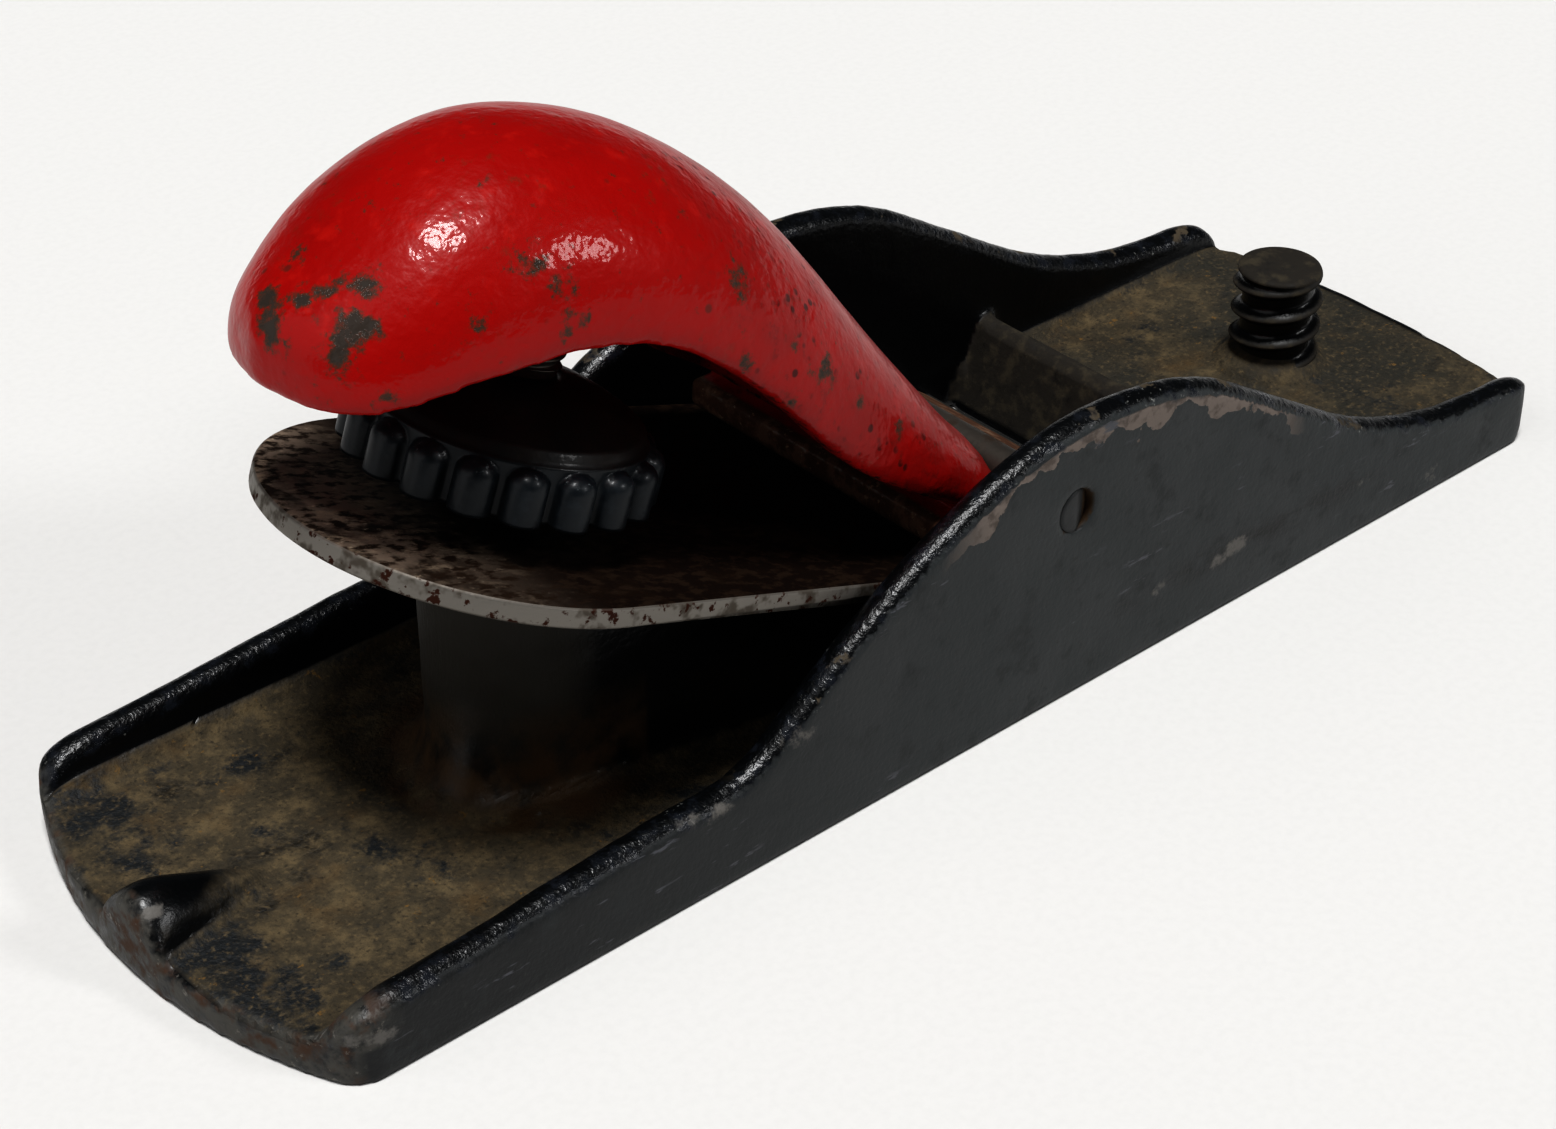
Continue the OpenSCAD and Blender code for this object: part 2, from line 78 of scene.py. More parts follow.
def linear(hex_colour):
    """Linear RGBA of an sRGB hex colour such as #A1120F."""
    shares = [int(hex_colour[i : i + 2], 16) / 255 for i in (1, 3, 5)]
    return tuple(c / 12.92 if c <= 0.04045 else ((c + 0.055) / 1.055) ** 2.4 for c in shares) + (1.0,)


def add_node(tree, kind, settings=None, **links):
    """One shader node with its settings, and each input set to a value or linked from a socket."""
    node = tree.nodes.new(kind)
    for name, value in (settings or {}).items():
        setattr(node, name, value)
    for name, value in links.items():
        key = int(name[1:]) if name[0] == "i" and name[1:].isdigit() else name.replace("_", " ")
        if isinstance(value, bpy.types.NodeSocket):
            tree.links.new(value, node.inputs[key])
        else:
            node.inputs[key].default_value = value
    return node


class Finish:
    """A surface built up in layers: each one covers what lies under it where its mask is 1."""

    def __init__(self, name, colour, roughness, metallic=0.0, coat=0.0, coat_roughness=0.1, ior=1.5):
        self.material = bpy.data.materials.new(name)
        self.material.use_nodes = True
        self.tree = self.material.node_tree
        self.shader = self.tree.nodes["Principled BSDF"]
        self.shader.inputs["IOR"].default_value = ior
        self.shader.inputs["Metallic"].default_value = metallic
        self.shader.inputs["Coat Weight"].default_value = coat
        self.shader.inputs["Coat Roughness"].default_value = coat_roughness
        self.shader.inputs["Roughness"].default_value = roughness
        self.shader.inputs["Base Color"].default_value = linear(colour)
        self.colour, self.roughness, self.metallic = linear(colour), roughness, metallic
        at = add_node(self.tree, "ShaderNodeTexCoord").outputs["Object"]
        scaled = add_node(self.tree, "ShaderNodeVectorMath", {"operation": "SCALE"}, i0=at, Scale=1 / MM)
        self.place = scaled.outputs["Vector"]
        self.height = None

    def grain(self, size, detail=3.0, roughness=0.55, stretch=(1, 1, 1), seed=0.0, warp=0.0):
        """Noise of about that feature size in millimetres, from 0 to 1."""
        shift = (seed, seed * 1.7, -seed)
        at = add_node(self.tree, "ShaderNodeMapping", Vector=self.place, Location=shift, Scale=stretch)
        kind = {"Scale": 1 / size, "Detail": detail, "Roughness": roughness, "Distortion": warp}
        return add_node(self.tree, "ShaderNodeTexNoise", Vector=at.outputs[0], **kind).outputs["Fac"]

    def patches(self, low, high, size, *kind, **more):
        """Blotches that begin where grain of that size is above low, and are full where it is above high."""
        return self.step(self.grain(size, *kind, **more), low, high)

    def spots(self, size, seed):
        """Distance to the nearest of scattered points that lie about that far apart in millimetres."""
        shift = (seed, -seed, seed * 2)
        at = add_node(self.tree, "ShaderNodeMapping", Vector=self.place, Location=shift).outputs[0]
        return add_node(self.tree, "ShaderNodeTexVoronoi", Vector=at, Scale=1 / size).outputs["Distance"]

    def stored(self, name):
        """Value kept on the mesh's points or faces."""
        return add_node(self.tree, "ShaderNodeAttribute", {"attribute_name": name}).outputs["Fac"]

    def math(self, operation, a, b=0.0, c=0.0):
        return add_node(self.tree, "ShaderNodeMath", {"operation": operation}, i0=a, i1=b, i2=c).outputs[0]

    def step(self, value, low, high):
        """0 below low and 1 above high, smooth between; low above high turns it round."""
        smooth = {"interpolation_type": "SMOOTHSTEP"}
        ends = {"i1": low, "i2": high, "i3": 0.0, "i4": 1.0}
        return add_node(self.tree, "ShaderNodeMapRange", smooth, i0=value, **ends).outputs[0]

    def axis(self, index):
        """X, Y or Z of the point in millimetres."""
        return add_node(self.tree, "ShaderNodeSeparateXYZ", i0=self.place).outputs[index]

    def facing(self, index):
        """X, Y or Z of the surface's normal."""
        normal = add_node(self.tree, "ShaderNodeNewGeometry").outputs["Normal"]
        return add_node(self.tree, "ShaderNodeSeparateXYZ", i0=normal).outputs[index]

    def both(self, a, b):
        return self.math("MULTIPLY", a, b)

    def layer(self, mask, colour, roughness=None, metallic=None):
        """Covers what is there with a colour, and a roughness and metallic if given, where the mask is 1."""
        colours, numbers = {"data_type": "RGBA"}, {"data_type": "FLOAT"}
        mix = add_node(self.tree, "ShaderNodeMix", colours, i0=mask, i6=self.colour, i7=linear(colour))
        self.colour = mix.outputs[2]
        for name, value in (("roughness", roughness), ("metallic", metallic)):
            if value is not None:
                mix = add_node(self.tree, "ShaderNodeMix", numbers, i0=mask, i2=getattr(self, name), i3=value)
                setattr(self, name, mix.outputs[0])

    def relief(self, height, depth):
        """Raises the surface by up to depth millimetres where height is 1."""
        raised = self.math("MULTIPLY", height, depth * MM)
        self.height = raised if self.height is None else self.math("ADD", self.height, raised)

    def done(self):
        """Links what the layers and the relief made to the shader, and gives the material back."""
        made = {"Base Color": self.colour, "Roughness": self.roughness, "Metallic": self.metallic}
        if self.height is not None:
            bump = add_node(self.tree, "ShaderNodeBump", Height=self.height, Distance=1.0, Strength=1.0)
            made["Normal"] = made["Coat Normal"] = bump.outputs["Normal"]
        for name, value in made.items():
            if isinstance(value, bpy.types.NodeSocket):
                self.tree.links.new(value, self.shader.inputs[name])
        return self.material


def new_piece(name, mesh, material, body, slot, *nodes):
    """A smooth-shaded object that rides on a body and stands for those nodes."""
    mesh.name = name
    mesh.polygons.foreach_set("use_smooth", [True] * len(mesh.polygons))
    mesh.materials.clear()
    mesh.materials.append(material)
    piece = bpy.data.objects.new(name, mesh)
    bpy.context.scene.collection.objects.link(piece)
    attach(piece, body)
    if nodes:
        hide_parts(*nodes)
    return piece


def points_of(mesh):
    """The mesh's points in millimetres."""
    flat = np.empty(len(mesh.vertices) * 3)
    mesh.vertices.foreach_get("co", flat)
    return flat.reshape(-1, 3) / MM


def normals_of(mesh):
    flat = np.empty(len(mesh.vertices) * 3, np.float32)
    mesh.vertex_normals.foreach_get("vector", flat)
    return flat.reshape(-1, 3).astype(float)


def move_points(mesh, points):
    mesh.vertices.foreach_set("co", (points * MM).ravel())
    mesh.update()


def keep_value(mesh, name, values, domain="POINT"):
    """Stores one number a point, or one a face, for the material to read."""
    mesh.attributes.new(name, "FLOAT", domain).data.foreach_set("value", np.asarray(values, np.float32))


def ramp(value, low, high):
    """0 at low and 1 at high, straight between; low above high turns it round."""
    return np.clip((value - low) / (high - low), 0, 1)


def fall(share):
    """How far a quarter circle has fallen, from 0 to 1, at that share of the way to its end."""
    return 1 - np.sqrt(1 - share**2)


def soft_marks(points, marks, stretch=1.0):
    """Highest of soft marks at each point; a mark is X, Y, Z, radius and height, and stretch is along X."""
    value = np.zeros(len(points))
    for x, y, z, radius, height in marks:
        flat = ((points[:, 0] - x) / stretch) ** 2 + (points[:, 1] - y) ** 2
        value = np.maximum(value, height * np.exp(-(flat + (points[:, 2] - z) ** 2) / radius**2))
    return value


def about_screw(points):
    """Height of each point above the wheel's joint along the screw's axis, and its offset from that axis."""
    offset = points - np.array(SCREW_POINT)
    along = offset @ np.array(SCREW_AXIS)
    return along, offset - along[:, None] * np.array(SCREW_AXIS)


def softened(node, voxel, rounds):
    """Copy of a solid as one even mesh with its edges eased, as a casting's are."""
    copy = bpy.data.objects.new("softening", frame["nodes"][node].data.copy())
    bpy.context.scene.collection.objects.link(copy)
    edit = bmesh.new()
    edit.from_mesh(copy.data)
    bmesh.ops.remove_doubles(edit, verts=edit.verts, dist=WELD)
    edit.to_mesh(copy.data)
    edit.free()
    remesh = copy.modifiers.new("even", "REMESH")
    remesh.mode, remesh.voxel_size, remesh.adaptivity = "VOXEL", voxel * MM, 0.0
    ease = copy.modifiers.new("ease", "SMOOTH")
    ease.factor, ease.iterations = 0.5, rounds
    ready = copy.evaluated_get(bpy.context.evaluated_depsgraph_get())
    mesh = bpy.data.meshes.new_from_object(ready)
    bpy.data.objects.remove(copy)
    return mesh


def lumps(points, size, seed):
    """Gentle unevenness of a sand casting, from -1 to 1, with lumps about that many millimetres wide."""
    return np.array([noise.noise(Vector(p) / size + Vector((seed, 0, 0))) for p in points])


def grid_mesh(name, rows, ends=True):
    """Mesh through rings of points of equal length, closed at both ends where ends is true."""
    count, width = len(rows), len(rows[0])
    verts = [tuple(c * MM for c in p) for row in rows for p in row]
    faces = []
    for i in range(count - 1):
        for k in range(width):
            a, b = i * width + k, i * width + (k + 1) % width
            faces.append((a, b, b + width, a + width))
    if ends:
        faces.append(tuple(range(width - 1, -1, -1)))
        faces.append(tuple(range((count - 1) * width, count * width)))
    mesh = bpy.data.meshes.new(name)
    mesh.from_pydata(verts, [], faces)
    mesh.validate()
    return mesh


def on_axis(origin, axis, side, radius, turn, along):
    """Point at that radius, turn and distance along an axis."""
    other = axis.cross(side)
    return origin + axis * along + (side * math.cos(turn) + other * math.sin(turn)) * radius


def ring(origin, axis, side, radius, along, count):
    """Ring of points round an axis, at that distance along it."""
    return [on_axis(origin, axis, side, radius, 2 * math.pi * k / count, along) for k in range(count)]


def thread_mesh(
    name, origin, axis, side, low, high, crest, root, pitch, segments, top_ease, sharpness, top_r
):
    """Right-hand thread that fades out under a plain round top; more sharpness makes its crests thinner."""
    rows = []
    rings_a_turn = 18
    steps = max(int((high - low) / (pitch / rings_a_turn)), 8)
    for i in range(steps + 1):
        along = low + (high - low) * i / steps
        row = []
        for k in range(segments):
            turn = 2 * math.pi * k / segments
            phase = along / pitch - turn / (2 * math.pi)
            wave = 0.5 + 0.5 * math.cos(2 * math.pi * phase)
            fade = min(max((high - along) / top_ease, 0.0), 1.0)
            radius = root + (crest - root) * wave**sharpness * fade + (top_r - root) * (1 - fade)
            row.append(on_axis(origin, axis, side, radius, turn, along))
        rows.append(row)
    ease = 0.14 * top_r
    for share in (0.4, 0.75, 1.0):
        shrink = ease * (1 - math.cos(share * math.pi / 2))
        lift = 0.6 * ease * math.sin(share * math.pi / 2)
        rows.append(ring(origin, axis, side, top_r - shrink, high + lift, segments))
    return grid_mesh(name, rows)


def japanned_iron():
    """Black japanning, a baked asphalt varnish over sand-cast iron: glossy and deep black, greyed by handling
    on the sides, chipped to grey-brown iron under the hump's edge, with brown dust and rust on the floors."""
    f = Finish("japanned cast iron", "#0A0C0E", 0.3, ior=1.45)
    outside, floor, ends = f.stored("outside"), f.stored("floor"), f.stored("ends")
    cloud = f.grain(11.0, 4.0)
    patch = f.grain(2.6, 5.0, 0.62, seed=4.0)
    sand = f.grain(0.4, 2.0)
    f.layer(outside, "#303435", 0.52)
    f.layer(f.both(outside, f.step(cloud, 0.4, 0.66)), "#353839", 0.5)
    # painted shade: the sides grow darker towards the heel, standing in for side light that falls off from
    # the toe
    f.layer(f.both(outside, f.step(f.axis(0), 5.0, -62.0)), "#17191A", 0.5)
    f.layer(f.both(outside, f.step(patch, 0.52, 0.72)), "#272A2B", 0.55)
    streaks = f.patches(0.4, 0.6, 1.8, 5.0, 0.65, (0.4, 1, 1), seed=45.0)
    f.layer(f.both(f.stored("streak"), streaks), "#0E1011", 0.4)
    f.layer(f.both(outside, f.patches(0.6, 0.74, 0.9, 4.0, 0.6, seed=13.0)), "#323332", 0.6)
    # dust that settled on the bridge and on the stud's crests
    dusty = f.stored("dusty")
    f.layer(f.both(dusty, f.patches(0.1, 0.5, 2.6, 5.0, 0.6, seed=41.0)), "#29251F", 0.85)
    f.layer(f.both(dusty, f.patches(0.46, 0.68, 1.7, 5.0, 0.6, seed=42.0)), "#3F392D", 0.88)
    # chipped band just under the round edge of the hump
    drop = f.stored("drop")
    scallops = f.math("MULTIPLY", f.spots(3.0, 5.0), 3.4)
    frayed = f.math("MULTIPLY", f.grain(1.0, 3.0, 0.6, seed=2.0), 1.6)
    wide = f.math("MULTIPLY", f.grain(8.0, 2.0, seed=12.0), -2.0)
    ragged = f.math("ADD", f.math("ADD", drop, f.math("ADD", scallops, frayed)), wide)
    band = f.both(f.step(drop, 1.0, 1.15), f.step(ragged, 4.0, 3.88))
    band = f.both(band, f.stored("hump"))
    f.layer(band, "#7B716A", 0.75)
    f.layer(f.both(band, f.patches(0.46, 0.64, 1.3, 4.0, 0.6, seed=43.0)), "#5D544E", 0.75)
    worn = f.both(f.stored("rim"), f.patches(0.6, 0.64, 3.2, 4.0, 0.6, seed=47.0))
    f.layer(f.both(f.step(drop, 0.9, 0.5), worn), "#4E4537", 0.75)
    # bare specks and painted glints along the round edges: light grey spots that stand in for sparkling
    # highlights on the glossy varnish
    bare_specks_and_painted_glints = f.both(f.step(drop, 1.3, 0.9), f.patches(0.62, 0.68, 0.55, 4.0, 0.7, seed=8.0))
    f.layer(f.both(bare_specks_and_painted_glints, f.patches(0.5, 0.6, 7.0, 2.0, seed=3.0)), "#777875", 0.4)
    # varnish polished by hands along them
    f.layer(f.both(f.step(drop, 1.5, 0.9), f.patches(0.48, 0.68, 1.6, 4.0, 0.6, seed=53.0)), "#202329", 0.24)
    # floors: dust, rust and what is left of the varnish
    dust = f.grain(6.5, 6.0, 0.66, seed=11.0, warp=0.3)
    toe = f.step(f.axis(0), 32.0, 45.0)
    f.layer(f.both(floor, f.step(dust, 0.24, 0.5)), "#423B2E", 0.88)
    f.layer(f.both(floor, f.patches(0.42, 0.72, 2.8, 6.0, 0.66, seed=6.0)), "#675A43", 0.9)
    f.layer(f.both(floor, f.patches(0.52, 0.74, 5.0, 5.0, 0.6, seed=26.0)), "#54452F", 0.9)
    at_heel = f.math("MULTIPLY", f.step(f.axis(0), -57.0, -66.0), 0.08)
    varnish = f.step(f.math("ADD", f.grain(7.0, 6.0, 0.7, seed=21.0), at_heel), 0.52, 0.64)
    f.layer(f.both(floor, varnish), "#1C1F21", 0.6)
    f.layer(f.both(f.both(floor, toe), f.patches(0.34, 0.64, 9.0, 5.0, 0.6, seed=51.0)), "#302E27", 0.75)
    f.layer(f.both(floor, f.patches(0.5, 0.85, 0.5, 3.0, 0.6, seed=31.0)), "#6A5C44", 0.9)
    rust = f.both(f.patches(0.64, 0.72, 0.9, 3.0, 0.6, seed=63.0), f.patches(0.46, 0.58, 6.0, 3.0, seed=64.0))
    f.layer(f.both(floor, rust), "#6E5631", 0.9)
    f.layer(f.both(floor, f.patches(0.5, 0.85, 0.4, 3.0, 0.6, seed=33.0)), "#1C1A15", 0.8)
    # the post, and brown grease and rust round its foot
    f.layer(f.stored("post"), "#2B2822", 0.6)
    f.layer(f.both(f.stored("foot"), f.patches(0.3, 0.62, 3.4, 5.0, seed=14.0)), "#4A3722", 0.6)
    # worn end faces
    f.layer(f.both(ends, f.patches(0.36, 0.6, 1.8, 5.0, 0.65, seed=17.0)), "#4B4944", 0.6)
    f.layer(f.both(ends, f.patches(0.5, 0.66, 2.6, 4.0, 0.6, seed=19.0)), "#4A3527", 0.8)
    f.layer(f.both(ends, f.patches(0.6, 0.7, 0.9, 4.0, 0.7, seed=20.0)), "#716D66", 0.5)
    # scratches down to bare iron, and one painted glint at the post's foot
    frayed = f.math("MULTIPLY", f.grain(1.0, 4.0, 0.7, seed=23.0), 1.1)
    bare = f.math("ADD", f.stored("scratch_and_glint"), frayed)
    f.layer(f.step(bare, 0.98, 1.3), "#64615D", 0.55)
    scuffs = f.patches(0.62, 0.7, 0.55, 3.0, 0.6, (0.16, 1, 0.8), seed=57.0)
    scuffs = f.both(scuffs, f.patches(0.5, 0.62, 9.0, 3.0, seed=58.0))
    f.layer(f.both(outside, scuffs), "#54555A", 0.55)
    f.layer(f.stored("bore"), "#3B2B18", 0.85)
    f.relief(sand, 0.03)
    f.relief(f.both(f.step(drop, 1.6, 0.8), f.grain(0.5, 3.0, 0.6, seed=37.0)), 0.1)
    f.relief(f.grain(1.3, 3.0, seed=9.0), 0.05)
    f.relief(f.both(floor, dust), 0.3)
    f.relief(f.both(floor, f.grain(0.8, 4.0, 0.65, seed=5.0)), 0.22)
    f.relief(f.both(f.stored("post"), f.grain(0.5, 3.0, 0.6, (1, 1, 0.15), seed=61.0)), 0.06)
    f.relief(f.both(outside, f.grain(0.55, 3.0, 0.6, seed=29.0)), 0.035)
    f.relief(f.math("MULTIPLY", band, -1.0), 0.05)
    return f.done()


def red_enamel(look):
    """Bright red enamel brushed over cast iron: thick, glossy and orange-peeled, so that its highlights break
    up into sparkles, chipped to dark iron at the palm's end, and darker and duller along the arm. Upward
    faces carry lighter red patches as painted light from above. The foot is bare and brown, painted lighter
    as light that reaches it."""
    f = Finish("red enamel on cast iron", look.enamel_hex, 0.4, coat=0.3, coat_roughness=0.1, ior=1.27)
    f.layer(f.patches(0.46, 0.72, 9.0, 4.0), "#940A07", 0.34)
    arm = f.stored("arm")
    f.layer(f.both(arm, f.patches(0.28, 0.7, 5.0, 5.0, 0.6, seed=3.0)), "#8A1613", 0.46)
    f.layer(f.both(arm, f.patches(0.55, 0.72, 1.1, 4.0, 0.6, seed=4.0)), "#7A1410", 0.5)
    # painted light: lighter red patches only on upward faces, where the overhead light falls
    painted_light_on_top = f.step(f.facing(2), 0.3, 0.8)
    f.layer(f.both(f.patches(0.54, 0.72, 2.2, 4.0, 0.6, seed=25.0), painted_light_on_top), "#A8140C", 0.42)
    # thin film of dirt in blotches
    dirt = f.both(f.patches(0.5, 0.7, 7.0, 3.0, seed=22.0), f.patches(0.52, 0.74, 1.0, 5.0, 0.66, seed=24.0))
    f.layer(dirt, "#7C2A18", 0.45)
    # chips with ragged edges: a thinned rim, then primer, then dark iron
    frayed = f.math("MULTIPLY", f.math("SUBTRACT", f.grain(1.1, 6.0, 0.72, seed=6.0), 0.5), 2.6)
    chips = f.math("ADD", f.stored("chips"), frayed)
    f.layer(f.step(chips, 0.22, 0.56), "#6E2A1E", 0.45)
    f.layer(f.step(chips, 0.42, 0.66), "#4B3226", 0.5)
    bare = f.step(chips, 0.58, 0.86)
    f.layer(bare, "#3A322C", 0.6)
    # pinholes: many along the arm, few elsewhere
    foot = f.stored("foot")
    specks = f.both(f.step(f.spots(1.3, 2.0), 0.32, 0.18), f.patches(0.52, 0.64, 3.5, 3.0, seed=8.0))
    f.layer(f.both(arm, specks), "#4E1410", 0.6)
    f.layer(f.both(f.step(f.spots(4.6, 7.0), 0.1, 0.05), f.math("SUBTRACT", 1.0, foot)), "#6E1F16", 0.5)
    # lower edge of the arm, rubbed dark, and the foot, which was never enamelled; the foot's bare brown is
    # painted lighter, standing in for light that reaches it
    rim = f.both(f.step(f.stored("rim"), 0.8, 0.3), f.patches(0.5, 0.62, 1.2, 4.0, 0.7, seed=12.0))
    f.layer(f.both(rim, arm), "#2F1B16", 0.7)
    f.layer(foot, "#5C4132", 0.8)
    f.layer(f.both(foot, f.patches(0.46, 0.62, 2.0, 5.0, 0.65, seed=15.0)), "#7D6250", 0.75)
    f.layer(f.both(foot, f.patches(0.6, 0.68, 0.9, 4.0, 0.7, seed=18.0)), "#9A8570", 0.65)
    f.relief(f.grain(0.8, 2.0, 0.5), 0.06)
    f.relief(f.grain(1.7, 2.0, 0.5, seed=16.0), 0.1)
    f.relief(f.grain(5.0, 2.0, 0.5, seed=2.0), 0.12)
    f.relief(f.math("MULTIPLY", bare, -1.0), 0.015)
    return f.done()


def browned_steel():
    """Hardened tool steel gone brown with age on its faces, dark brown all over and partly painted shade of
    the cap and wheel, and lighter at the rear end on the far side as a painted pool of light; the round edge
    is rubbed to light grey with brown spots left in it, and the ground bevel is bright."""
    f = Finish("browned tool steel", "#1B130F", 0.75, ior=1.12)
    # painted light: lighter browns at the rear end stand for light reaching it past the cap, kept weaker on
    # the near half as painted shadow of the wheel
    far_half_out_of_painted_shadow = f.math("MULTIPLY_ADD", f.step(f.axis(1), -12.0, -3.0), 0.8, 0.2)
    painted_light_rear = f.both(f.step(f.axis(0), -37.0, -46.0), far_half_out_of_painted_shadow)
    f.layer(f.both(painted_light_rear, f.patches(0.2, 0.5, 5.0, 5.0, 0.6)), "#85776A", 0.65)
    f.layer(f.patches(0.5, 0.66, 6.0, 5.0, 0.6, seed=11.0), "#211812", 0.5)
    f.layer(f.both(painted_light_rear, f.patches(0.5, 0.68, 1.4, 5.0, 0.65, (0.35, 1, 1), seed=4.0)), "#988977", 0.65)
    f.layer(f.both(painted_light_rear, f.patches(0.6, 0.74, 0.6, 3.0, 0.6, (0.5, 1, 1), seed=6.0)), "#B0A18E", 0.65)
    f.layer(f.patches(0.46, 0.62, 0.9, 4.0, 0.6, (0.5, 1, 1), seed=8.0), "#2B211A", 0.6)
    side = f.step(f.math("ABSOLUTE", f.stored("lean")), 0.86, 0.62)
    f.layer(side, "#807C76", 0.45, 0.55)
    f.layer(f.both(side, f.patches(0.48, 0.62, 2.2, 3.0, 0.6, seed=10.0)), "#5A544D", 0.6, 0.4)
    f.layer(f.both(side, f.patches(0.57, 0.63, 1.1, 4.0, 0.6, seed=9.0)), "#3E271F", 0.7, 0.2)
    ground = f.both(f.step(f.axis(0), 26.1, 26.3), f.step(f.stored("lean"), 0.5, 0.6))
    f.layer(ground, "#8F8D88", 0.32, 0.9)
    f.relief(f.grain(0.6, 3.0, 0.6, (0.5, 1, 1)), 0.04)
    f.relief(f.grain(2.2, 4.0, 0.6, seed=3.0), 0.04)
    return f.done()


def black_lacquer():
    """Glossy black lacquer with a blue cast over a lobed iron wheel, dulled by brown dust on the dome; the
    lobes are painted a lighter blue-grey as painted reflection, and their shoulders carry a few light specks,
    partly rubbed bare and partly painted glints."""
    f = Finish("black lacquer on cast iron", "#07090B", 0.36, coat=0.12, coat_roughness=0.15, ior=1.4)
    dome = f.stored("dome")
    f.layer(dome, "#0B0807", 0.5)
    f.layer(f.both(dome, f.patches(0.4, 0.66, 4.0, 4.0)), "#18110D", 0.5)
    f.layer(f.both(dome, f.patches(0.6, 0.74, 0.9, 4.0, 0.65, seed=5.0)), "#2A1D16", 0.6)
    # painted reflection: the lobes' lighter blue-grey stands for soft reflections on the lacquer
    lobes = f.math("SUBTRACT", 1.0, dome)
    f.layer(lobes, "#12181D", 0.42)
    f.layer(f.both(lobes, f.patches(0.48, 0.68, 1.3, 4.0, 0.6, seed=7.0)), "#1D2328", 0.5)
    # painted glints: light specks on the lobes' shoulders stand for small highlights, partly bare wear
    bare_specks_and_painted_glints = f.both(f.stored("shoulder"), f.patches(0.6, 0.68, 0.6, 4.0, 0.7, seed=3.0))
    f.layer(bare_specks_and_painted_glints, "#6F7577", 0.35)
    f.relief(f.grain(0.6, 2.0), 0.02)
    f.relief(f.grain(2.4, 3.0, seed=2.0), 0.06)
    return f.done()


def turned_steel():
    """Mild steel as it comes off the lathe, dulled by handling and spotted with a thin brown film."""
    f = Finish("turned mild steel", "#5E5A55", 0.42, metallic=0.85)
    f.layer(f.patches(0.5, 0.68, 1.6, 4.0, 0.6), "#3D3027", 0.6, 0.5)
    f.relief(f.grain(0.35, 2.0), 0.01)
    return f.done()


def pin_steel():
    """Steel pin driven in before the plane was japanned: black varnish on its ends, dull grey between."""
    f = Finish("varnished steel pin", "#5A554F", 0.5, metallic=0.7)
    end = f.step(f.math("ABSOLUTE", f.axis(1)), 19.0, 19.4)
    f.layer(f.patches(0.48, 0.66, 2.0, 4.0), "#3C3128", 0.7, 0.3)
    f.layer(end, "#232526", 0.5, 0.0)
    f.layer(f.both(end, f.step(f.axis(0), PIN_POINT.x + 0.7, PIN_POINT.x + 1.3)), "#3B2B18", 0.8, 0.0)
    f.relief(f.grain(0.8, 3.0), 0.05)
    return f.done()


def pale_board(look):
    """Matt pale board under the plane."""
    f = Finish("pale matt board", look.floor_hex, 0.9)
    f.layer(f.patches(0.3, 0.8, 0.8, 3.0), "#D6D5D3", 0.92)
    return f.done()


class BodyLook(PropertyGroup):
    """Settings of the cast body."""

    voxel: FloatProperty(
        name="Mesh spacing",
        description="Spacing of the casting's mesh in millimetres",
        default=0.45, min=0.3, max=1.0,
    )
    ease_rounds: IntProperty(
        name="Edge easing",
        description="How often the casting's edges are eased",
        default=4, min=1, max=20,
    )
    lump: FloatProperty(
        name="Unevenness",
        description="Depth of the casting's lumps in millimetres",
        default=0.07, min=0.0, max=0.3,
    )
    stud_pitch: FloatProperty(
        name="Stud pitch",
        description="Pitch of the stud's thread in millimetres",
        default=2.7, min=1.0, max=4.0,
    )
    stud_root: FloatProperty(
        name="Stud root radius",
        description="Radius at the bottom of the thread in millimetres",
        default=3.25, min=2.5, max=4.0,
    )


class CapLook(PropertyGroup):
    """Settings of the lever cap."""

    voxel: FloatProperty(
        name="Mesh spacing",
        description="Spacing of the cap's mesh in millimetres",
        default=0.45, min=0.3, max=1.0,
    )
    ease_rounds: IntProperty(
        name="Edge easing",
        description="How often the cap's edges are eased",
        default=14, min=1, max=40,
    )
    enamel_hex: StringProperty(
        name="Enamel colour",
        description="sRGB hex value of the enamel",
        default="#9C0A06",
    )


class CutterLook(PropertyGroup):
    """Settings of the cutter."""

    edge_round: FloatProperty(
        name="Edge rounding",
        description="Radius of the rubbed edges in millimetres",
        default=0.3, min=0.05, max=0.6,
    )


class WheelLook(PropertyGroup):
    """Settings of the wheel, screw and pin."""

    lobes: IntProperty(
        name="Lobes",
        description="Number of lobes round the wheel",
        default=18, min=8, max=30,
    )
    screw_pitch: FloatProperty(
        name="Screw pitch",
        description="Pitch of the clamping screw in millimetres",
        default=1.25, min=0.8, max=2.0,
    )


class StageLook(PropertyGroup):
    """Settings of the floor, lights and camera."""

    overhead: FloatProperty(
        name="Overhead light",
        description="Strength of the soft light overhead",
        default=2.4, min=0.0,
    )
    heel_side: FloatProperty(
        name="Heel light",
        description="Strength of the low light from behind the heel",
        default=0.5, min=0.0,
    )
    near_side: FloatProperty(
        name="Side light",
        description="Strength of the light from the near side",
        default=0.5, min=0.0,
    )
    sky: FloatProperty(
        name="Room light",
        description="Strength of the light from all round",
        default=0.05, min=0.0, max=2.0,
    )
    floor_hex: StringProperty(
        name="Floor colour",
        description="sRGB hex value of the floor",
        default="#D9D8D6",
    )
    sky_colour: FloatVectorProperty(
        name="Room colour",
        description="Colour of the light from all round",
        subtype="COLOR", default=(0.9, 0.94, 1.0), min=0, max=1,
    )


# how far below the walls' tops a point counts as lying if it is on no wall
NOT_ON_EDGE = 20.0
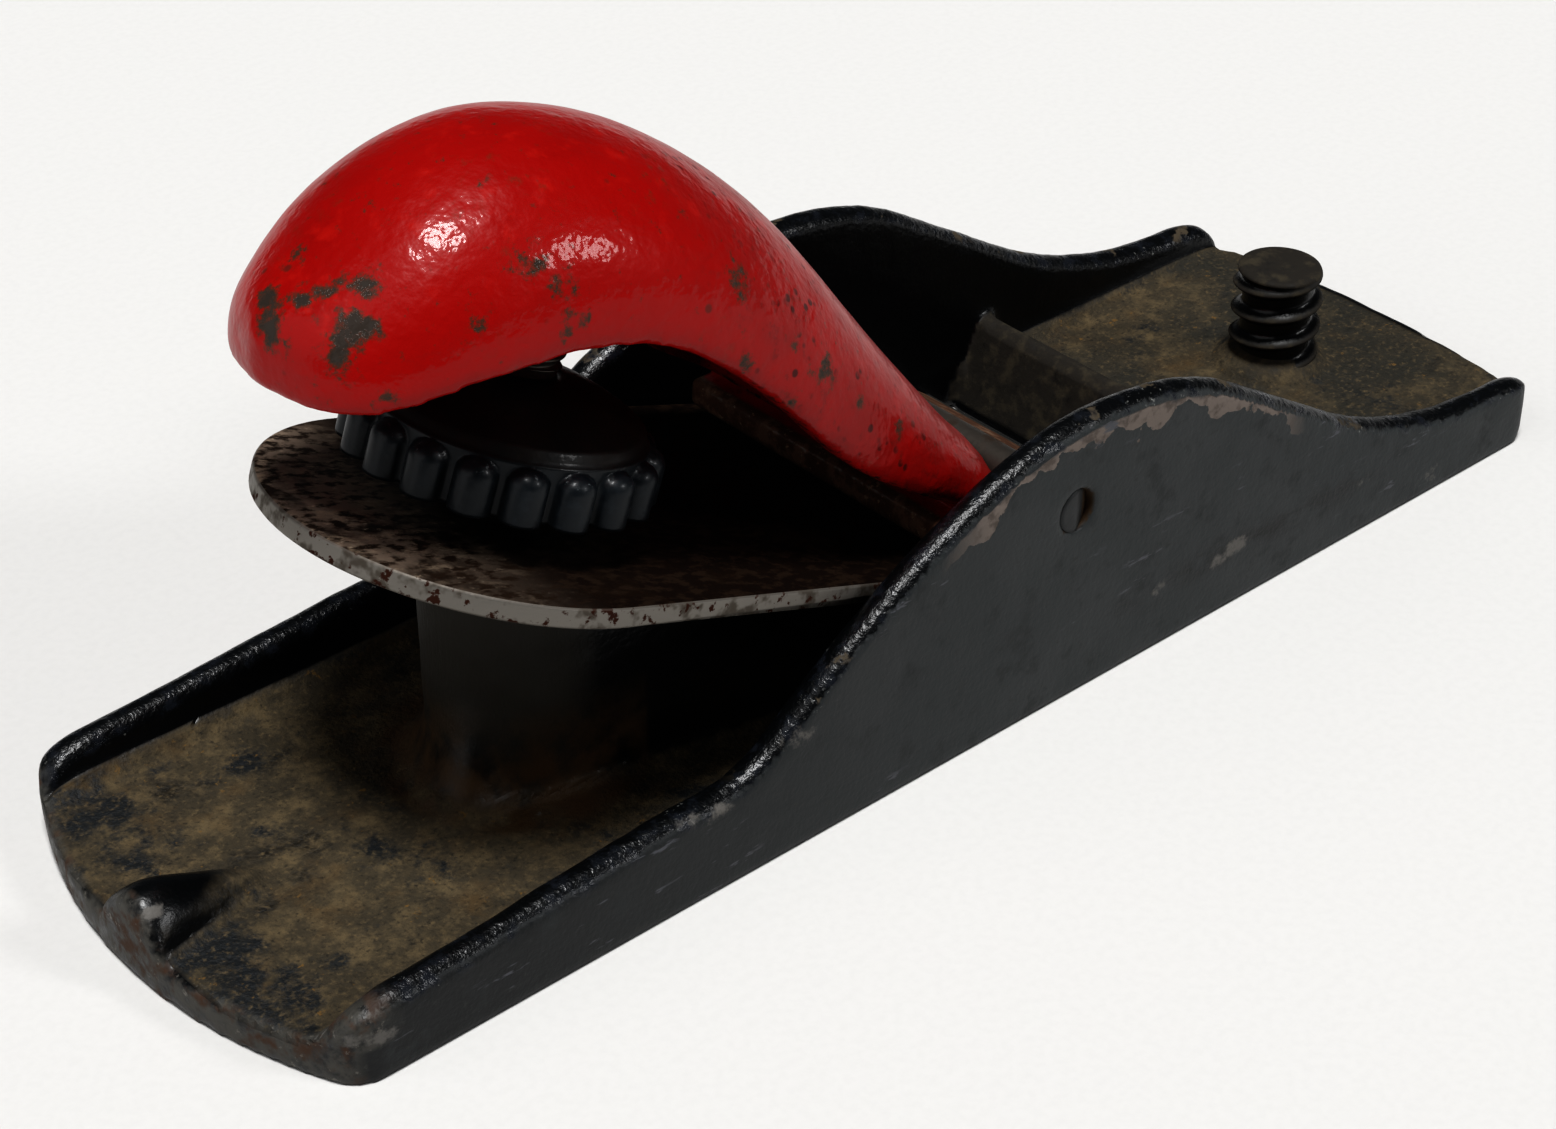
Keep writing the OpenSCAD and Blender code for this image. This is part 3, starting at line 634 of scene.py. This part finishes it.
# scratches on the casting, with one painted glint at the post's foot, and chips in the enamel: X, Y, Z,
# radius and how strong
SCRATCHES_AND_GLINT = (
    (26.0, -21.3, 5.9, 1.2, 0.8), (24.2, -21.3, 5.4, 1.0, 0.75), (16.5, -21.3, 5.9, 0.8, 0.7),
    (43.1, -21.3, 5.4, 1.1, 0.55), (52.6, -21.3, 1.9, 1.4, 0.6), (-23.6, -21.3, 10.3, 1.5, 0.6),
    (-31.5, -21.2, 7.4, 1.1, 0.66), (-34.2, -20.9, 7.9, 1.0, 0.6), (-62.8, -21.3, 4.0, 1.0, 0.8),
    (-62.4, -20.4, 5.6, 0.9, 0.66), (-64.2, -20.4, 4.2, 1.1, 0.66), (-68.6, -1.9, 6.4, 0.7, 0.9),
    # the mark at the post's foot is a painted glint, a light spot standing in for a highlight on the fillet
    (-38.4, -8.1, 3.4, 0.5, 0.8),
)
CHIPS = (
    (-52.7, 0.5, 49.9, 1.0, 1.0), (-53.5, -0.8, 49.2, 1.1, 1.0), (-54.0, -1.4, 48.2, 0.9, 0.9),
    (-51.7, -1.9, 50.3, 0.8, 0.9), (-48.4, -5.1, 51.5, 1.0, 0.95), (-49.6, -3.5, 51.2, 0.9, 0.6),
    (-50.4, -2.7, 50.8, 0.8, 0.6), (-50.3, -5.8, 49.6, 1.3, 1.0), (-51.0, -5.9, 48.9, 1.2, 1.0),
    (-49.7, -6.6, 49.4, 1.1, 0.95), (-51.8, -6.0, 47.9, 1.0, 0.9), (-49.4, 1.3, 51.8, 1.0, 0.5),
    (-50.1, -8.8, 45.4, 0.9, 0.55), (-36.5, -12.3, 47.4, 1.4, 0.5), (-38.5, -10.2, 51.9, 1.4, 0.48),
    (-43.4, -10.7, 48.9, 0.8, 0.45), (-37.0, -11.4, 50.1, 1.5, 0.5), (-21.9, -12.7, 45.3, 1.5, 0.62),
    (-14.8, -14.2, 35.8, 1.5, 0.7), (-17.8, -14.0, 39.1, 0.8, 0.55), (-11.5, -14.3, 32.1, 0.9, 0.55),
    (-7.2, -14.3, 27.8, 1.0, 0.5), (-18.7, -14.7, 35.2, 0.8, 0.55), (-22.9, -14.3, 39.6, 0.8, 0.55),
)


class BLOCKPLANE_OT_body(Operator):
    """Makes the cast body and the thread of its knob stud."""

    bl_idname = "blockplane.make_body"
    bl_label = "Cast body"

    def execute(self, context):
        look = context.scene.body_look
        sole_edge, wall_y, wall_z, inset = 0.7, 17.7, 3.5, 0.02
        mesh = softened("plane_body", look.voxel, look.ease_rounds)
        p, n = points_of(mesh), normals_of(mesh)
        core = self.thin_stud(p)
        uneven = lumps(p, 4.5, 3.0) + 0.6 * lumps(p, 2.0, 9.0)
        p += n * (look.lump * uneven * (~core) * (p[:, 2] > sole_edge))[:, None]
        wall = (np.abs(p[:, 1]) > wall_y) & (p[:, 2] > wall_z)
        self.round_ends(p)
        self.slope_bridge(p)
        low, high = (np.array(c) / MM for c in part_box("plane_body"))
        p = np.clip(p, low + np.array([inset, inset, 0]), high - inset)
        move_points(mesh, p)
        masks = self.masks(p, normals_of(mesh), wall)
        for name, values in masks.items():
            keep_value(mesh, name, values)
        iron = japanned_iron()
        new_piece("cast_body", mesh, iron, "plane", "black_casting", "plane_body")
        thread = thread_mesh(
            "stud", Vector((STUD_X, 0, 0)), Vector((0, 0, 1)), Vector((1, 0, 0)),
            low=FLOOR_Z - 0.1, high=STUD_TOP - 0.42, crest=STUD_R - 0.03, root=look.stud_root,
            pitch=look.stud_pitch, segments=96, top_ease=0.9, sharpness=3.0, top_r=3.9,
        )
        q = points_of(thread)
        on_crest = np.clip((np.hypot(q[:, 0] - STUD_X, q[:, 1]) - 3.8) * 3, 0, 1)
        own = {"drop": np.full(len(q), NOT_ON_EDGE), "dusty": np.maximum(on_crest, q[:, 2] > STUD_TOP - 0.5)}
        for name in masks:
            keep_value(thread, name, own.get(name, np.zeros(len(q))))
        new_piece("stud_thread", thread, iron, "plane", "black_casting")
        return {"FINISHED"}

    def thin_stud(self, p):
        """Draws the stud in to a core for its thread, and gives back which points are on it."""
        core_r, from_z, full_z, sunk = 2.7, 4.6, 5.8, 1.6
        away = np.hypot(p[:, 0] - STUD_X, p[:, 1])
        core = (away < STUD_R + 0.35) & (p[:, 2] > from_z - 0.2)
        narrow = 1 - (1 - core_r / np.maximum(away, core_r)) * ramp(p[:, 2], from_z, full_z)
        pull = np.where(core, narrow, 1.0)
        p[:, 0] = STUD_X + (p[:, 0] - STUD_X) * pull
        p[:, 1] *= pull
        p[core, 2] = np.minimum(p[core, 2], STUD_TOP - sunk)
        return core

    def round_ends(self, p):
        """Rounds off the walls' tops towards both ends, and the rear of the tab, as they are cast."""
        heel_end, toe_end, wall_run, wall_fall, wall_top = -65.5, 68.05, 5.5, 2.3, 6.4
        tab_front, tab_half, tab_run, tab_fall, tab_top = -60, 6.5, 4.2, 2.4, 7.3
        from_end = np.where(p[:, 0] < 0, p[:, 0] - heel_end, toe_end - p[:, 0])
        on_wall = ramp(np.abs(p[:, 1]), 16.0, 17.7) * ramp(p[:, 2], FLOOR_Z, wall_top)
        p[:, 2] -= wall_fall * fall(ramp(from_end, wall_run, 0)) * on_wall
        on_tab = (p[:, 0] < tab_front) * (np.abs(p[:, 1]) < tab_half) * ramp(p[:, 2], FLOOR_Z, tab_top)
        p[:, 2] -= tab_fall * fall(ramp(p[:, 0], HEEL_X + tab_run, HEEL_X)) * on_tab

    def slope_bridge(self, p):
        """Makes the bridge's rear face one slope, from the mouth's front edge up to the bridge's top."""
        mouth_x, face_run, top_z, ledge_z, ledge_run, ledge_band = 31.3, 2.9, 8.2, 3.1, 1.1, 0.35
        slope_from, slope_run, front_x = 30.8, 3.4, 34.8
        x, y, z = p.T.copy()
        over_ledge = mouth_x + face_run * z / top_z
        face_x = np.where(z > ledge_z + 0.25, over_ledge, mouth_x + ledge_run * (z > ledge_z - ledge_band))
        share = ramp(np.abs(y), 18.3, 17.1) * ramp(z, top_z + 0.2, top_z - 0.4)
        share *= (x > slope_from + 0.1) * (x < np.minimum(face_x + 0.4, front_x))
        ledge_mid = mouth_x + ledge_run / 2
        on_ledge = (np.abs(z - ledge_z) < ledge_band) * np.clip(1 - np.abs(x - ledge_mid), 0, 1)
        slope_z = z + 0.8 * on_ledge * (x - ledge_mid)
        slope_x = slope_from + slope_run * ramp(slope_z, 0, top_z)
        p[:, 2] += share * (slope_z - z)
        p[:, 0] += share * (slope_x - x)

    def masks(self, p, n, wall):
        """Where the iron's material finds edges, floors, wear, dust and rust; lengths are in millimetres."""
        x, y, z = p.T
        side = np.abs(y)
        # tops of the walls, in columns half a millimetre wide
        column = np.round((x - HEEL_X) * 2).astype(int)
        top = np.zeros(column.max() + 1)
        np.maximum.at(top, column[wall], z[wall])
        inside = side < 17.9
        flat = ramp(n[:, 2], 0.45, 0.7) * (np.abs(x) < 68.8) * (np.abs(x - 32.5) > 2.6)
        from_post = np.hypot(x - POST_X, y)
        foot = ramp(from_post, 11.6, 10.4) * (from_post > 5) * ramp(z, 12, 6) * (x < -28) * (z > 1.5)
        # the heel's end face is a bow of this radius about a point on the middle line
        bow_r = 45.4
        from_bow = np.hypot(x - (bow_r + HEEL_X), y) - bow_r
        heel_face = ramp(from_bow, -0.9, -0.2) * (x < -55)
        tab_rear = (x < -63) * (side < 6) * ramp(n[:, 0], -0.25, -0.45) * (z > 2)
        wall_end = 0.9 * (y < -17.5) * ramp(x, -60.5, -63.5) * (z > 3.2)
        # a dark streak runs along the near side, about 6 mm up
        from_streak = z - (6.1 - 0.02 * (x - 16))
        streak = (y < -20.6) * np.exp(-((from_streak / 1.3) ** 2)) * ramp(x, 8, 16) * ramp(x, 47, 41)
        on_bridge = inside * (x > 30.3) * (x < 43) * (z > 1.0) * (z < 9.0)
        round_stud = (np.hypot(x - STUD_X, y) < 8.5) * (z > 2.0)
        from_pin = np.hypot(x - PIN_POINT.x, z - PIN_POINT.z)
        return {
            "drop": np.where(wall, top[column] - z, NOT_ON_EDGE),
            "outside": (side > 20.4) * (np.abs(n[:, 1]) > 0.8),
            "hump": ramp(x, -9, -4) * ramp(x, 34, 30) * (side > 19.6),
            "floor": inside * flat * ramp(z, 5.6, 4.2) * (z > 1.5),
            "foot": foot,
            "post": ramp(from_post, 8.2, 7.0) * (x < -30) * (z > 3.5),
            "ends": np.maximum(np.maximum(heel_face, tab_rear), wall_end),
            "streak": streak,
            "rim": (side > 18.2) * ramp(x, -30, -24),
            "dusty": np.maximum(on_bridge, 0.8 * round_stud),
            "scratch_and_glint": soft_marks(p, SCRATCHES_AND_GLINT, stretch=2.1),
            "bore": (from_pin < 2.0) * (side > 18.0) * (side < 21.15),
        }


class BLOCKPLANE_OT_pin(Operator):
    """Makes the cross pin with its eased, varnished ends."""

    bl_idname = "blockplane.make_pin"
    bl_label = "Cross pin"

    def execute(self, context):
        low, high = (Vector(c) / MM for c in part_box("fulcrum_pin"))
        radius = (high.x - low.x) / 2 - 0.01
        # the near end was cut slanting: flush with the wall at the rear and deeper at the front
        flush, deepest, cover, wall_in, segments = -21.2, 0.95, 1.95, 19, 48
        profile = [(0.4, flush), (1.0, flush), (1.5, flush), (cover, flush), (cover, flush + 1.0)]
        profile += [(radius, -wall_in), (radius, 0), (radius, wall_in), (radius, high.y - 0.35)]
        profile += [(radius * 0.9, high.y - 0.08), (radius * 0.55, high.y - 0.02)]
        centre = Vector((PIN_POINT.x, 0, PIN_POINT.z))
        rows = []
        for r, y in profile:
            row = []
            for k in range(segments):
                turn = 2 * math.pi * k / segments
                slant = min(max((r / cover * math.cos(turn) + 0.1) / 1.1, 0.0), 1.0)
                dip = deepest * slant if y < -wall_in - 1 else 0.0
                row.append(on_axis(centre, Vector((0, 1, 0)), Vector((1, 0, 0)), r, turn, y + dip))
            rows.append(row)
        new_piece("cross_pin", grid_mesh("pin", rows), pin_steel(), "plane", "pin_steel", "fulcrum_pin")
        return {"FINISHED"}


class BLOCKPLANE_OT_cutter(Operator):
    """Makes the cutter with rubbed edges and a ground bevel."""

    bl_idname = "blockplane.make_cutter"
    bl_label = "Cutter"

    def execute(self, context):
        look = context.scene.cutter_look
        edit = bmesh.new()
        edit.from_mesh(frame["nodes"]["cutter"].data)
        bmesh.ops.remove_doubles(edit, verts=edit.verts, dist=WELD)
        bmesh.ops.dissolve_limit(edit, angle_limit=math.radians(1), verts=edit.verts, edges=edit.edges)
        # every corner is rubbed round except the cutting edge, which lies low in the mouth
        edge_z, corner = 1.2 * MM, math.radians(15)
        sharp = [e for e in edit.edges if len(e.link_faces) == 2 and e.calc_face_angle(0) > corner]
        sharp = [e for e in sharp if min(v.co.z for v in e.verts) > edge_z]
        round_r = look.edge_round * MM
        bmesh.ops.bevel(edit, geom=sharp, offset=round_r, segments=3, affect="EDGES", profile=0.5)
        mesh = bpy.data.meshes.new("cutter")
        edit.to_mesh(mesh)
        edit.clear()
        edit.from_mesh(mesh)
        bmesh.ops.triangulate(edit, faces=[f for f in edit.faces if len(f.verts) > 4])
        edit.to_mesh(mesh)
        edit.free()
        keep_value(mesh, "lean", [face.normal.dot(SCREW_AXIS) for face in mesh.polygons], "FACE")
        piece = new_piece("cutter_blade", mesh, browned_steel(), "blade", "cutter_steel", "cutter")
        weighted = piece.modifiers.new("flat faces", "WEIGHTED_NORMAL")
        weighted.keep_sharp = True
        return {"FINISHED"}


class BLOCKPLANE_OT_cap(Operator):
    """Makes the palm-shaped lever cap."""

    bl_idname = "blockplane.make_cap"
    bl_label = "Lever cap"

    def execute(self, context):
        look = context.scene.cap_look
        mesh = softened("lever_cap", look.voxel, look.ease_rounds)
        p, n = points_of(mesh), normals_of(mesh)
        lump, foot_top, foot_x = 0.05, 3.6, -6.5
        p += n * (lump * lumps(p, 6.0, 5.0))[:, None]
        # easing narrows the screw's hole, so it is opened again
        hole_r, hole_from, hole_to = 3.25, 14.4, 23.8
        screw_foot = about_screw(points_of(frame["nodes"]["clamp_screw"].data))[0].min()
        along, out = about_screw(p)
        away = np.maximum(np.linalg.norm(out, axis=1), 0.3)
        in_hole = (away < hole_r + 0.55) & (along > screw_foot + hole_from) & (along < screw_foot + hole_to)
        p += out * (np.maximum(hole_r / away - 1, 0) * in_hole)[:, None]
        move_points(mesh, p)
        x, y, z = p.T
        over_cutter = (p - CUTTER_EDGE) @ np.array(SCREW_AXIS) - CUTTER_T
        # lower edges of the cap, in columns half a millimetre wide
        column = np.round((x - x.min()) * 2).astype(int)
        bottom = np.full(column.max() + 1, 99.0)
        side = np.abs(y) > 6
        np.minimum.at(bottom, column[side], z[side])
        keep_value(mesh, "foot", (over_cutter < foot_top) * (x > foot_x))
        keep_value(mesh, "arm", ramp(x, -27, -19) * (over_cutter > foot_top))
        keep_value(mesh, "rim", z - bottom[column])
        keep_value(mesh, "chips", soft_marks(p, CHIPS))
        new_piece("enamelled_cap", mesh, red_enamel(look), "cap", "red_enamel", "lever_cap")
        return {"FINISHED"}


class BLOCKPLANE_OT_screw(Operator):
    """Makes the clamping screw with its foot, neck and thread."""

    bl_idname = "blockplane.make_screw"
    bl_label = "Clamping screw"

    def execute(self, context):
        look = context.scene.wheel_look
        along = about_screw(points_of(frame["nodes"]["clamp_screw"].data))[0]
        low, high = along.min(), along.max()
        crest, root, neck, foot_r = 2.98, 2.45, 2.58, 3.86
        wheel_top = low + WHEEL_LIFT + WHEEL_H + 0.25
        profile = [(2.6, 0), (3.5, 0.2), (foot_r, 0.7), (foot_r, 2.6), (3.7, 2.8)]
        profile += [(neck, 2.82), (neck, wheel_top - low)]
        rows = [ring(SCREW_POINT, SCREW_AXIS, DOWN_BED, r, low + a, 64) for r, a in profile]
        steel = turned_steel()
        new_piece("screw_foot", grid_mesh("foot", rows), steel, "screw", "screw_steel", "clamp_screw")
        thread = thread_mesh(
            "thread", SCREW_POINT, SCREW_AXIS, DOWN_BED,
            low=wheel_top - 0.1, high=high - 0.6, crest=crest, root=root, pitch=look.screw_pitch,
            segments=64, top_ease=0.8, sharpness=1.0, top_r=2.7,
        )
        new_piece("screw_thread", thread, steel, "screw", "screw_steel")
        return {"FINISHED"}


class BLOCKPLANE_OT_wheel(Operator):
    """Makes the lobed wheel: round lobes with arched tops under a low dome."""

    bl_idname = "blockplane.make_wheel"
    bl_label = "Thumb wheel"

    def execute(self, context):
        look = context.scene.wheel_look
        along, out = about_screw(points_of(frame["nodes"]["thumb_wheel"].data))
        low, high = along.min(), along.max()
        radius = np.linalg.norm(out, axis=1).max() - 0.03
        # the dome is a cap of a ball, that high in the middle and that far from the axis at its foot
        dome_h, dome_foot = 3.9, 11.4
        dome_r = (dome_foot**2 + dome_h**2) / (2 * dome_h)
        dome_centre = high - low - dome_r - 0.05
        bore, core_r, lobe_r, lobe_top, ledge_top = 2.66, radius - 1.5, 1.35, 4.15, 4.7
        spacing = 2 * math.pi / look.lobes
        lobe_w = 0.37 * spacing * radius
        centre = radius - lobe_r
        segments = look.lobes * 28

        def reach(a, off):
            """Radius of the wheel's edge at that height and angle from the middle of a lobe."""
            over = max(a - (lobe_top - lobe_r), 0.25 - a, 0.0)
            inside = 1 - (over / lobe_r) ** 2 - (centre * math.sin(off) / lobe_w) ** 2
            if inside <= 0:
                return core_r
            return max(centre * math.cos(off) + lobe_r * math.sqrt(inside), core_r)

        under_lobes = [(bore, 0.0), (6.0, 0.0), (core_r - 0.6, 0.0)]
        heights = [0.0, 0.25, 1.0, 1.8]
        heights += [lobe_top - lobe_r * (1 - math.sin(s * math.pi / 20)) for s in range(11)]
        over_lobes = [(core_r, lobe_top + 0.15), (core_r - 0.12, ledge_top - 0.3), (core_r - 0.45, ledge_top)]
        for share in (0.0, 0.05, 0.15, 0.3, 0.5, 0.7, 0.88, 1.0):
            q = core_r - 0.5 + (bore - core_r + 0.5) * share
            over_lobes.append((q, max(math.sqrt(dome_r**2 - q * q) + dome_centre, ledge_top)))
        columns = []
        for k in range(segments):
            turn = 2 * math.pi * k / segments
            off = ((turn / spacing + 0.5) % 1 - 0.5) * spacing
            column = under_lobes + [(reach(a, off), a) for a in heights] + over_lobes
            columns.append([on_axis(SCREW_POINT, SCREW_AXIS, DOWN_BED, q, turn, low + a) for q, a in column])
        rows = [[column[i] for column in columns] for i in range(len(columns[0]))]
        mesh = grid_mesh("wheel", rows + rows[:1], ends=False)
        edit = bmesh.new()
        edit.from_mesh(mesh)
        bmesh.ops.remove_doubles(edit, verts=edit.verts, dist=WELD / 2)
        bmesh.ops.recalc_face_normals(edit, faces=edit.faces)
        edit.to_mesh(mesh)
        edit.free()
        along, out = about_screw(points_of(mesh))
        up, away = along - low, np.linalg.norm(out, axis=1)
        keep_value(mesh, "dome", ramp(up, lobe_top, lobe_top + 0.3) * (away < core_r + 0.01))
        keep_value(mesh, "shoulder", np.clip(1 - np.abs(up - 3.7) / 0.5, 0, 1) * (away > core_r + 0.1))
        new_piece("lobed_wheel", mesh, black_lacquer(), "wheel", "black_wheel", "thumb_wheel")
        return {"FINISHED"}


class BLOCKPLANE_OT_stage(Operator):
    """Makes the pale floor, the three soft lights and the camera."""

    bl_idname = "blockplane.make_stage"
    bl_label = "Floor, lights and camera"

    def execute(self, context):
        look = context.scene.stage_look
        scene = context.scene
        floor = bpy.data.meshes.new("floor")
        half = 6.0
        corners = [(-half, -half, 0), (half, -half, 0), (half, half, 0), (-half, half, 0)]
        floor.from_pydata(corners, [], [(0, 1, 2, 3)])
        board = bpy.data.objects.new("floor", floor)
        floor.materials.append(pale_board(look))
        scene.collection.objects.link(board)
        self.lamp(scene, "overhead_light", look.overhead, 16, (-0.11, -0.13, 0.98))
        self.lamp(scene, "heel_side_light", look.heel_side, 60, (-0.86, 0.14, 0.49))
        self.lamp(scene, "near_side_light", look.near_side, 12, (0.49, -0.73, 0.48))
        self.room(scene, look)
        scene.view_settings.view_transform = "Standard"
        scene.view_settings.look = "High Contrast"
        scene.camera = self.camera(scene)
        return {"FINISHED"}

    def room(self, scene, look):
        """Dim light from all round, with a pale wall where the camera sees past the floor."""
        world = bpy.data.worlds.new("room")
        scene.world = world
        world.use_nodes = True
        tree = world.node_tree
        dim = tree.nodes["Background"]
        dim.inputs["Color"].default_value = (*look.sky_colour, 1)
        dim.inputs["Strength"].default_value = look.sky
        pale = add_node(tree, "ShaderNodeBackground", Color=linear(look.floor_hex), Strength=0.85)
        seen = add_node(tree, "ShaderNodeLightPath").outputs["Is Camera Ray"]
        both = add_node(tree, "ShaderNodeMixShader", i0=seen, i1=dim.outputs[0], i2=pale.outputs[0])
        tree.links.new(both.outputs[0], tree.nodes["World Output"].inputs["Surface"])

    def camera(self, scene):
        """Camera at the photograph's angle; its focal length and the view's middle are in picture pixels."""
        width, height, focal, middle = 1556, 1129, 3199.1, (788.75, 556.4)
        azimuth, elevation, roll = (math.radians(v) for v in (-42.063, 33.836, 0.346))
        stands_at = Vector((-0.1530716, -0.1633764, 0.155757))
        data = bpy.data.cameras.new("camera")
        data.sensor_width = 36.0
        data.lens = focal / width * data.sensor_width
        data.shift_x = (width / 2 - middle[0]) / width
        data.shift_y = (middle[1] - height / 2) / width
        data.clip_start, data.clip_end = 0.01, 10
        level = math.cos(elevation)
        back = Vector((math.sin(azimuth) * level, -math.cos(azimuth) * level, math.sin(elevation)))
        right = Vector((math.cos(azimuth), math.sin(azimuth), 0))
        up = back.cross(right)
        across = right * math.cos(roll) + up * math.sin(roll)
        upright = up * math.cos(roll) - right * math.sin(roll)
        turned = Matrix((across, upright, back)).transposed().to_4x4()
        camera = bpy.data.objects.new("camera", data)
        camera.matrix_world = Matrix.Translation(stands_at) @ turned
        scene.collection.objects.link(camera)
        return camera

    def lamp(self, scene, name, strength, width, towards):
        """Soft light from that direction, as wide in the sky as the angle in degrees."""
        data = bpy.data.lights.new(name, "SUN")
        data.energy, data.angle = strength, math.radians(width)
        lamp = bpy.data.objects.new(name, data)
        lamp.rotation_mode = "QUATERNION"
        lamp.rotation_quaternion = Vector(towards).to_track_quat("Z", "Y")
        scene.collection.objects.link(lamp)


OPERATORS = (
    BLOCKPLANE_OT_stage,
    BLOCKPLANE_OT_body,
    BLOCKPLANE_OT_pin,
    BLOCKPLANE_OT_cutter,
    BLOCKPLANE_OT_cap,
    BLOCKPLANE_OT_screw,
    BLOCKPLANE_OT_wheel,
)
LOOKS = {
    "body_look": BodyLook,
    "cap_look": CapLook,
    "cutter_look": CutterLook,
    "wheel_look": WheelLook,
    "stage_look": StageLook,
}


class BLOCKPLANE_PT_panel(Panel):
    """Lists the pieces and the stage."""

    bl_label = "Block plane"
    bl_idname = "BLOCKPLANE_PT_panel"
    bl_space_type = "VIEW_3D"
    bl_region_type = "UI"
    bl_category = "Block plane"

    def draw(self, context):
        for operator in OPERATORS:
            self.layout.operator(operator.bl_idname)
        for name, look in LOOKS.items():
            box = self.layout.box()
            for prop in look.__annotations__:
                box.prop(getattr(context.scene, name), prop)


def register():
    for cls in (*LOOKS.values(), *OPERATORS, BLOCKPLANE_PT_panel):
        bpy.utils.register_class(cls)
    for name, look in LOOKS.items():
        setattr(bpy.types.Scene, name, PointerProperty(type=look))


def unregister():
    for name in LOOKS:
        delattr(bpy.types.Scene, name)
    for cls in reversed((*LOOKS.values(), *OPERATORS, BLOCKPLANE_PT_panel)):
        bpy.utils.unregister_class(cls)


def main():
    register()
    bpy.ops.blockplane.make_stage()
    bpy.ops.blockplane.make_body()
    bpy.ops.blockplane.make_pin()
    bpy.ops.blockplane.make_cutter()
    bpy.ops.blockplane.make_cap()
    bpy.ops.blockplane.make_screw()
    bpy.ops.blockplane.make_wheel()


if __name__ == "__main__":
    main()
